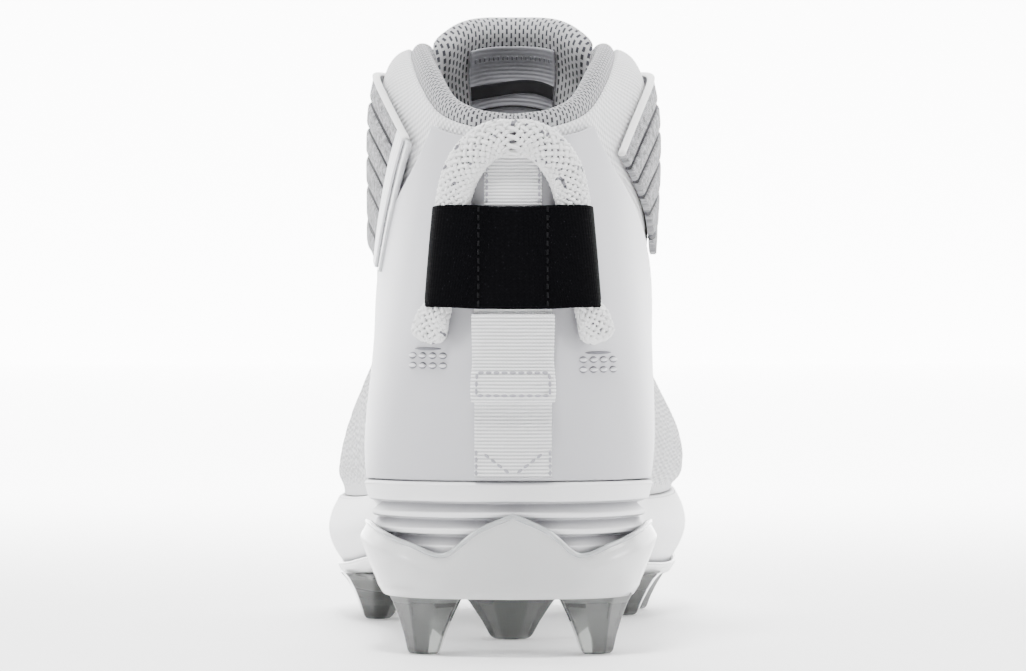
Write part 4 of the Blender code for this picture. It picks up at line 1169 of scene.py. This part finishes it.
# Half of a stitch's length as a share of its pitch, and half sizes; below each slit, the
# cord's stitches stand in rows that run past its inner and outer end
STITCH_FILL = 0.38
STITCH_HALF = (0.00042, 0.00034)
CORD_STITCH_HALF = (0.00058, 0.00055)
CORD_STITCH_DROPS = (0.0018, 0.0044)
CORD_STITCH_PAST = (0.0007, 0.0009)
DENT_HALF = (0.00092, 0.00024)
SLIT_HALF = (0.00045, 0.00030)

# Ends of the cord: side, inner and outer end of the slit from the centre, its height
CORD_ENDS = (
    (1.0, 0.0168, 0.0252, 0.0818),
    (-1.0, 0.0168, 0.0252, 0.0808),
)

# The cord's braid: strands each way, their steps, turns and half sizes, how far they run
# inside the cord's outline and dip under one another, the dark body's own distance inside,
# which is painted shade seen between the strands, and the share of the cord's length over
# which each end closes
STRANDS = 12
STRAND_STEPS = 300
STRAND_TURNS = 5.0
STRAND_HALF = (0.00062, 0.00052)
STRAND_IN = (0.0006, 0.0005)
STRAND_WEAVE = 0.00040
GAP_SHADE_IN = (0.0010, 0.0009)
CORD_END = 0.02


def strap_centre():
    """Even grid of the strap's inner face, eased as the strap's own solid is."""
    runs, shares = np.linspace(-1.0, 1.0, 29)[:, None], np.linspace(0.0, 1.0, 5)[None, :]
    at = {name: curve(STRAP["run"], STRAP[name], runs) for name in STRAP}
    row = at["low_row"] + (at["high_row"] - at["low_row"]) * shares
    out = at["low_out"] + (at["high_out"] - at["low_out"]) * shares
    side = np.where(runs >= 0, 1.0, -1.0)
    lift = np.maximum(at["lift"], GAP) + 0.0 * row
    return relax(cover(row, side * np.maximum(out, 0.0), lift), 3)


def on_grid(grid, u, v):
    """Smooth place on a coarse grid at shares of its two ways."""
    m, n = grid.shape[:2]
    rows = np.arange(float(m))
    lines = np.array([[curve(rows, grid[:, j, k], u * (m - 1.0)) for k in range(3)]
                      for j in range(n)])
    v = np.clip(v * (n - 1.0), 0.0, n - 1.0)
    i = np.clip(np.floor(v).astype(int), 0, n - 2)
    near = (np.broadcast_to(np.clip(i + k, 0, n - 1), u.shape) for k in (-1, 0, 1, 2))
    points = [np.take_along_axis(lines, j[None, None], 0)[0] for j in near]
    return np.moveaxis(between(*points, v - i), 0, -1)


def strap_face(centre, u, v, off):
    """Points off the strap's inner face."""
    u, v, off = np.broadcast_arrays(u, v, off)

    def slope(step_u, step_v):
        ahead, behind = (on_grid(centre, np.clip(u + way * step_u, 0, 1),
                                 np.clip(v + way * step_v, 0, 1)) for way in (1, -1))
        return ahead - behind

    normal = unit(np.cross(slope(0.004, 0.0), slope(0.0, 0.004)))
    return on_grid(centre, u, v) + normal * off[..., None]


def draw_strap():
    """Heathered strap with pressed grooves, piping on its top edge and a clear tip."""
    centre = strap_centre()
    knit = Look("strap_heather", (0.55, 0.55, 0.56), 0.85)
    mottle = knit.math("MULTIPLY", knit.noise(1400.0, 3.0), knit.noise(420.0))
    lines = knit.math("MULTIPLY", knit.place()[1], 1.0 / STRAP_HEIGHT)
    # painted shade: the strap's colour darkens along its pressed grooves
    dark = 0.0
    for groove in STRAP_GROOVES:
        miss = knit.math("ABSOLUTE", knit.math("SUBTRACT", lines, groove))
        near = knit.math("LESS_THAN", miss, 0.9 * STRAP_GROOVE_HALF / STRAP_HEIGHT)
        dark = knit.math("MAXIMUM", dark, near)
    tone = knit.math("SUBTRACT", knit.math("MULTIPLY", mottle, 3.6), 0.3)
    tone = knit.math("SUBTRACT", tone, dark)
    knit.tint(tone, (0.04, 0.04, 0.045), (0.36, 0.36, 0.37))
    knit.bump(knit.share(knit.weave(0.0009, 0.0012)), 0.0003, 0.7)

    def surface(u, v, off):
        dip = 0.0 * v
        for groove in STRAP_GROOVES:
            miss = np.abs(v - groove) * STRAP_HEIGHT / STRAP_GROOVE_HALF
            dip = dip + np.exp(-miss ** 2)
        shown = np.where(off > 0.5 * STRAP_THICK, 1.0, 0.0)
        return strap_face(centre, u, v, off - STRAP_GROOVE_DEPTH * dip * shown)

    grid = cushion(surface, (STRAP_LENGTH, STRAP_HEIGHT), (150, 130), STRAP_THICK, 0.0008)
    u, v = np.linspace(0.0, 1.0, 90)[:, None], np.linspace(0.0, 1.0, 12)[None, :]
    under = strap_face(centre, u, v, 0.0)
    piece("ankle_strap", [grid, with_metres(under)], knit, "strap")
    white = Look("piping_white", (0.82, 0.82, 0.81), 0.7)
    white.bump(white.noise(1200.0), 0.0001, 0.5)
    path, below = (strap_face(centre, np.linspace(0.0, 1.0, 200), height, 0.6 * STRAP_THICK)
                   for height in (1.0, 0.97))
    _, side, up = frames(path, unit(path - below))
    tube = ring_tube(path, side, up, *PIPING_HALF, 12)
    piece("strap_piping", [tube], white, "strap")
    clear = Look("clear_tip", (0.80, 0.82, 0.84), 0.18)
    clear.set("Transmission Weight", 0.35).set("Coat Weight", 0.5)
    v = np.linspace(0.0, 1.0, 40)
    end, before = on_grid(centre, 1.0 + 0.0 * v, v), on_grid(centre, 0.985 + 0.0 * v, v)
    ahead = unit(end - before)
    face = unit(strap_face(centre, 1.0, v, 0.001) - end)
    low, high = 0.15 * STRAP_THICK, 0.85 * STRAP_THICK
    short = TIP_LENGTH - TIP_ROUND
    loop = ((-TIP_TUCK, low), (short, low), (TIP_LENGTH, 2.0 * low),
            (TIP_LENGTH, high - low), (short, high), (-TIP_TUCK, high), (-TIP_TUCK, low))
    rings = np.stack([end + ahead * reach + face * off for reach, off in loop], axis=1)
    caps = [ring.mean(axis=1, keepdims=True) + 0.0 * ring for ring in (rings[:1], rings[-1:])]
    rings = np.concatenate((caps[0], rings, caps[1]))
    piece("strap_end", [with_metres(rings)], clear, "strap_tip")
    weld = Look("weld_grey", (0.74, 0.75, 0.77), 0.35)
    weld.bump(weld.share(weld.wave(0, 0.0020)), 0.0003, 0.8)

    def welded(u, v, off):
        share = WELD_LENGTH / STRAP_LENGTH
        return strap_face(centre, 1.0 - share * (1.0 - u), 0.01 + 0.98 * v,
                          0.9 * STRAP_THICK + off)

    patch = cushion(welded, (WELD_LENGTH, STRAP_HEIGHT), (16, 90), 0.0007, 0.0003)
    piece("strap_weld", [patch], weld, "strap")


def fold_puff(up):
    """How far the folded layer stands off the tab at a height."""
    share = (up - FOLD_UP[0]) / (FOLD_UP[1] - FOLD_UP[0])
    return (FOLD_OFF_LOW * hump(*FOLD_LOW_SPAN, share)
            + FOLD_OFF_HIGH * smooth(*FOLD_HIGH_SPAN, share))


def tab_width(up):
    """Half width of the heel tab at a height."""
    middle = 0.5 * (BAND_UP[0] + BAND_UP[1])
    return 0.5 * TAB_WIDTH * (1.0 - (1.0 - TAB_NARROW) * smooth(BAND_UP[0], middle, up))


def draw_tab():
    """Ribbed tab up the heel with its folded upper layer."""
    ribbed = Look("ribbed_tab", (0.86, 0.86, 0.865), 0.75)
    ribbed.bump(ribbed.share(ribbed.weave(0.0008, TAB_RIB)), 0.00015, 0.6)
    # painted shade: the tab's colour darkens in the troughs between its ribs
    crest = ribbed.share(ribbed.wave(1, TAB_RIB))
    ribbed.tint(crest, (0.56, 0.56, 0.575), (0.92, 0.92, 0.925))

    def layer(span, width, base, half, puff, steps, thick, radius):
        """Ribbed layer between two heights, its outer face puffed off its base."""
        length = span[1] - span[0]

        def surface(u, v, off):
            up = span[0] + length * v
            rib = TAB_RIB_HEIGHT * np.sin(2.0 * pi * length * v / TAB_RIB)
            outer = np.where(off > TAB_OUTER, rib + puff(up), 0.0)
            return heel_off((2.0 * u - 1.0) * half(up), up, base + off + outer)

        return cushion(surface, (width, length), (14, steps), thick, radius)

    lower = layer(TAB_UP, TAB_WIDTH, HEEL_BASE, tab_width, lambda up: 0.0,
                  380, TAB_THICK, 0.0004)
    upper = layer(FOLD_UP, 2.0 * FOLD_HALF, HEEL_BASE + TAB_THICK - FOLD_SINK,
                  lambda up: FOLD_HALF, fold_puff, 100, FOLD_THICK, 0.0006)
    piece("heel_tab", [lower, upper], ribbed, "heel_webbing")


def stitch_run(runs, half):
    """Raised stitches along runs: from one (out, up) to another, how many, how far off
    the skin, which may depend on the height."""
    steps = np.linspace(-1.0, 1.0, 8)
    outs, ups, offs = [], [], []
    for (x0, z0), (x1, z1), count, off in runs:
        for k in range(count):
            t = (k + 0.5 + STITCH_FILL * steps) / count
            outs.append(x0 + (x1 - x0) * t)
            ups.append(z0 + (z1 - z0) * t)
            offs.append((off(ups[-1]) if callable(off) else off) + 0.0001 + 0.0 * t)
    place, v = heel_place(np.array(outs), np.array(ups))
    paths, normals = skin_off(place, v, np.array(offs)), skin_normal(place, v)
    size = np.sqrt(np.maximum(1.0 - steps ** 2, 0.05))
    grids = []
    for path, normal in zip(paths, normals):
        _, side, up = frames(path, normal)
        grids.append(ring_tube(path, side, up, half[0] * size, half[1] * size, 8))
    return grids


def draw_stitches():
    """Raised stitches: box and corners on the tab, double rows at the cord's ends."""
    thread = Look("stitch_grey", (0.33, 0.33, 0.36), 0.7)
    half, low, top = STITCH_BOX

    def on_fold(up):
        return HEEL_BASE + TAB_THICK + FOLD_THICK + fold_puff(up)

    runs = [((-half, top), (half, top), 9, on_fold), ((-half, low), (half, low), 9, on_fold),
            ((-half, low), (-half, top), 3, on_fold), ((half, low), (half, top), 3, on_fold)]
    for side in (-1.0, 1.0):
        runs += [((side * x0, z0), (side * x1, z1), count, HEEL_BASE + TAB_THICK)
                 for (x0, z0), (x1, z1), count in TAB_STITCHES]
    piece("stitches", stitch_run(runs, STITCH_HALF), thread, "heel_webbing")
    base = SHELL_OFF + SHELL_WALL
    rows, slits = [], []
    for side, first, last, cut in CORD_ENDS:
        slits.append(((side * first, cut), (side * last, cut), 1, base))
        for drop in CORD_STITCH_DROPS:
            rows.append(((side * (first - CORD_STITCH_PAST[0]), cut - drop),
                         (side * (last + CORD_STITCH_PAST[1]), cut - drop), 4, base))
    white = Look("stitch_white", (0.62, 0.62, 0.64), 0.6)
    piece("cord_stitches", stitch_run(rows, CORD_STITCH_HALF), white, "pull_cord")
    slit = Look("slit_shadow", (0.16, 0.16, 0.18), 0.8)
    dents = stitch_run(rows, DENT_HALF) + stitch_run(slits, SLIT_HALF)
    piece("cord_slits", dents, slit, "pull_cord")


def cord_line():
    """Centre line of the cord with its normals and half widths."""
    half = np.stack((CORD["out"], CORD["up"], CORD["half"]), -1)
    back = half[-2::-1] * (-1.0, 1.0, 1.0)
    points = np.concatenate((half, back))
    places = np.arange(float(len(points)))
    fine = np.linspace(0.0, places[-1], STRAND_STEPS)
    out, up, wide = (curve(places, points[:, k], fine) for k in range(3))
    run = running(np.hypot(np.diff(out), np.diff(up)))
    even = np.linspace(0.0, run[-1], STRAND_STEPS)
    out, up, wide = (np.interp(even, run, values) for values in (out, up, wide))
    place, v = heel_place(out, up)
    tab_edge = 0.5 * TAB_NARROW * TAB_WIDTH
    on_tab = smooth(tab_edge + CORD_SLOPE, tab_edge, np.abs(out))
    extra = (TAB_THICK + GAP) * on_tab * smooth(BAND_UP[1], BAND_UP[1] + CORD_REST, up)
    path = skin_off(place, v, HEEL_BASE + CORD_HALF_THICK + extra)
    return path, skin_normal(place, v), wide


def draw_cord():
    """Flattened cord of strands plaited over and under one another, flecked with grey, round
    a dark body that is painted shade between the strands.
    """
    path, normals, wide = cord_line()
    _, side, up = frames(path, normals)
    yarn = Look("cord_yarn", (0.78, 0.78, 0.78), 0.75)
    fleck = yarn.math("GREATER_THAN", yarn.noise(380.0, 1.0, local=True), 0.695)
    yarn.tint(fleck, (0.78, 0.78, 0.78), (0.18, 0.18, 0.20))
    yarn.bump(yarn.wave(1, 0.0005), 0.0001, 0.5)
    t = np.linspace(0.0, 1.0, STRAND_STEPS)
    ease = np.maximum(round_end(np.minimum(t, 1.0 - t) / CORD_END), 0.1 ** 0.5)
    # painted shade: a dark body inside the braid shows through its gaps as shade
    gap_shade = Look("cord_gap_shade", (0.12, 0.12, 0.13), 0.85)
    body = ring_tube(path, side, up, (wide - GAP_SHADE_IN[0]) * ease,
                     (CORD_HALF_THICK - GAP_SHADE_IN[1]) * ease, 20)
    piece("cord_gap_shade_body", [body], gap_shade, "pull_cord")
    grids = []
    for way in (1.0, -1.0):
        for k in range(STRANDS):
            turn = 2.0 * pi * (way * STRAND_TURNS * t + k / STRANDS)
            weave = way * np.cos(2.0 * pi * STRANDS * STRAND_TURNS * t) * STRAND_WEAVE
            a = (wide - STRAND_IN[0] + weave) * ease
            b = (CORD_HALF_THICK - STRAND_IN[1] + weave) * ease
            across, above = side * np.cos(turn)[:, None], up * np.sin(turn)[:, None]
            line = path + across * a[:, None] + above * b[:, None]
            normal = unit(across * b[:, None] + above * a[:, None])
            _, flat, high = frames(line, normal)
            grids.append(ring_tube(line, flat, high, *STRAND_HALF, 6))
    piece("cord", grids, yarn, "pull_cord")


def draw_band():
    """Black elastic, ribbed upright, bulging over both legs of the cord."""
    black = Look("elastic_black", (0.0015, 0.0015, 0.002), 0.8)
    fine = black.math("MULTIPLY", black.wave(1, 0.0009), 0.3)
    black.bump(black.math("ADD", black.share(black.wave(0, 0.0008)), fine), 0.00012, 0.6)
    black.set("Specular IOR Level", 0.03)
    last = len(BAND["off"]) - 1.0
    index = np.arange(last + 1.0)

    def surface(u, v, off):
        column = (2.0 * u - 1.0) * last
        share, width, lift = (curve(index, BAND[name], np.abs(column))
                              for name in ("share", "width", "off"))
        up = BAND_UP[0] + (BAND_UP[1] - BAND_UP[0]) * v
        out = sum(part * (share * curve(CORD["up"], CORD["out"], at)
                          + width * curve(CORD["up"], CORD["half"], at))
                  for part, at in ((1.0 - v, BAND_PINCH), (v, BAND_UP[1])))
        return heel_off(np.sign(column) * BAND_NARROW * out, up, HEEL_BASE + lift + off)

    size = (BAND_WIDTH, BAND_UP[1] - BAND_UP[0])
    grid = cushion(surface, size, (170, 40), BAND_THICK, 0.0004)
    piece("heel_band", [grid], black, "elastic_band")
    seam = Look("seam_black", (0.005, 0.005, 0.006), 0.7)
    seam.set("Specular IOR Level", 0.1)
    dash = 0.30 * np.linspace(-1.0, 1.0, 6)
    v = (np.arange(SEAM_STITCHES)[:, None] + 0.5 + dash) / SEAM_STITCHES
    reach = np.linspace(0.5, 0.95, 60)
    middle = surface(np.array((0.5,)), np.array((0.5,)), np.zeros(1))[0, 1]
    u, heights = np.meshgrid(reach, v.ravel())
    outs = surface(u, heights, 0.0 * u)[..., 1] - middle
    at = np.reshape([np.interp(SEAM_OUT, row, reach) for row in outs], v.shape)
    u = np.concatenate((1.0 - at, at))
    v = np.concatenate((v, v))
    paths, above = (surface(u, v, BAND_THICK + off + 0.0 * v) for off in (0.0001, 0.0011))
    stitches = []
    for path, ahead in zip(paths, above):
        _, side, up = frames(path, unit(ahead - path))
        stitches.append(ring_tube(path, side, up, *SEAM_HALF, 6))
    piece("band_seams", stitches, seam, "elastic_band")


# Laces and eyelets: rows from the toe's end to the top, then sizes
EYELET_PAIRS = 5
EYELET_ROWS = (9.3, 6.8)
EYELET_OUT = 0.56
EYELET_RADIUS = 0.0022
RING_OUT = 0.0005
RING_HALF = (0.0006, 0.0004)
LACE_HALF = (0.0033, 0.0008)
LACE_STEP = 0.0006


def draw_laces():
    """Flat laces crossing the throat and diving into ringed eyelets."""
    tape = Look("lace_tape", (0.82, 0.82, 0.81), 0.75)
    tape.bump(tape.share(tape.weave(0.0011, 0.0011)), 0.0002, 0.7)
    rows = np.linspace(EYELET_ROWS[0], EYELET_ROWS[1], EYELET_PAIRS)
    lift = GAP + LACE_HALF[1] + LACE_STEP
    t = np.linspace(0.0, 1.0, 40)
    dive = smooth(0.0, 0.10, np.minimum(t, 1.0 - t))
    grids = []
    runs = [(1.0, rows[0], rows[0], 2.0 * LACE_STEP)]
    for low, high in zip(rows, rows[1:]):
        runs += [(1.0, low, high, 0.0), (-1.0, low, high, LACE_STEP)]
    for side, low, high, more in runs:
        row, out = low + (high - low) * t, side * EYELET_OUT * (1.0 - 2.0 * t)
        height = (lift + more) * dive + 0.0002 * (1.0 - dive)
        path = cover(row, out, height)
        normal = unit(cover(row, out, height + 0.001) - path)
        _, flat, high_way = frames(path, normal)
        narrow = 0.55 + 0.45 * dive
        grids.append(ring_tube(path, flat, high_way, LACE_HALF[0] * narrow, LACE_HALF[1], 14))
    piece("lace", grids, tape, "laces")
    thread = Look("eyelet_thread", (0.70, 0.70, 0.70), 0.7)
    # painted shade: a dark disc in each eyelet stands for the shade inside its hole
    dark = Look("eyelet_hole_shade", (0.04, 0.04, 0.04), 0.9)
    rings, holes = [], []
    a = np.linspace(0.0, 2.0 * pi, 25)[:, None]
    for row in rows:
        for side in (1.0, -1.0):
            place, v = (row if side > 0 else LOOP - row), side_height(EYELET_OUT)
            centre, normal = skin_off(place, v, 0.0002), skin_normal(place, v)
            across = unit(np.cross(normal, (0.0, 1.0, 0.0)))
            other = np.cross(normal, across)
            spoke = across * np.cos(a) + other * np.sin(a)
            ring = centre + spoke * (EYELET_RADIUS + RING_OUT)
            rings.append(ring_tube(ring, spoke, normal + 0.0 * spoke, *RING_HALF, 8))
            disc = np.stack((centre + 0.0 * spoke, centre + spoke * EYELET_RADIUS))
            holes.append(with_metres(disc))
    piece("eyelet_rings", rings, thread, "laces")
    piece("eyelet_holes", holes, dark, "laces")


def set_camera():
    """Camera behind the heel at the photo's angle, the one shoe in the middle."""
    camera = bpy.data.objects.new("camera", bpy.data.cameras.new("camera"))
    bpy.context.scene.collection.objects.link(camera)
    camera.data.lens = CAMERA_LENS
    camera.data.sensor_width = SENSOR_WIDTH
    camera.data.clip_start = CAMERA_NEAR
    camera.location = (SHIFT[0] - CAMERA_BEHIND, SHIFT[1], CAMERA_HEIGHT)
    camera.rotation_euler = (pi / 2 - CAMERA_PITCH, 0.0, -pi / 2)
    bpy.context.scene.camera = camera


def area_light(name, place, target, size, power):
    """Soft square light at a place, facing a target."""
    light = bpy.data.lights.new(name, "AREA")
    light.shape = "SQUARE"
    light.size = size
    light.energy = power
    obj = bpy.data.objects.new(name, light)
    bpy.context.scene.collection.objects.link(obj)
    obj.location = place
    way = Vector(target) - Vector(place)
    obj.rotation_euler = way.to_track_quat("-Z", "Y").to_euler()


def studio_plane(name, size, paint, place=(0.0, 0.0, 0.0), turn=(0.0, 0.0, 0.0)):
    """Large plane of the studio with its paint."""
    bpy.ops.mesh.primitive_plane_add(size=size, location=place, rotation=turn)
    plane = bpy.context.active_object
    plane.name = name
    plane.data.materials.append(paint.material)
    return plane


def set_studio():
    """Floor that glows more toward a bright backdrop, a faint sky, a light from above and
    one from each side."""
    world = bpy.data.worlds.new("studio")
    world.use_nodes = True
    back = world.node_tree.nodes["Background"]
    back.inputs["Color"].default_value = (1.0, 1.0, 1.0, 1.0)
    back.inputs["Strength"].default_value = WORLD_LIGHT
    bpy.context.scene.world = world
    paint = Look("floor_paint", FLOOR_WHITE, 0.6)
    paint.set("Emission Color", (1.0, 1.0, 1.0, 1.0))
    coordinates = paint.node("ShaderNodeTexCoord")
    split = paint.node("ShaderNodeSeparateXYZ")
    paint.feed(split.inputs[0], coordinates.outputs["Object"])
    ease = paint.node("ShaderNodeMapRange", interpolation_type="SMOOTHSTEP")
    paint.feed(ease.inputs["Value"], split.outputs[0])
    for socket, value in (("From Min", FLOOR_FROM), ("From Max", FLOOR_TO),
                          ("To Min", FLOOR_LIGHT), ("To Max", FLOOR_FAR_LIGHT)):
        ease.inputs[socket].default_value = value
    paint.feed(paint.shader.inputs["Emission Strength"], ease.outputs[0])
    floor = studio_plane("floor", FLOOR_SIZE, paint)
    glow = Look("backdrop_paint", (1.0, 1.0, 1.0), 1.0)
    glow.set("Emission Color", (1.0, 1.0, 1.0, 1.0)).set("Emission Strength", BACKDROP_LIGHT)
    backdrop = studio_plane("backdrop", BACKDROP_SIZE, glow, (BACKDROP_PLACE, 0.0, 0.0),
                            (0.0, -pi / 2, 0.0))
    for name, place, target, size, power in LIGHTS:
        area_light(name, place, target, size, power)


draw_midsole()
draw_cup()
draw_studs()
draw_shell()
draw_upper()
draw_collar()
draw_label(*draw_tongue())
draw_insole()
draw_strap()
draw_tab()
draw_stitches()
draw_cord()
draw_band()
draw_laces()
set_camera()
set_studio()
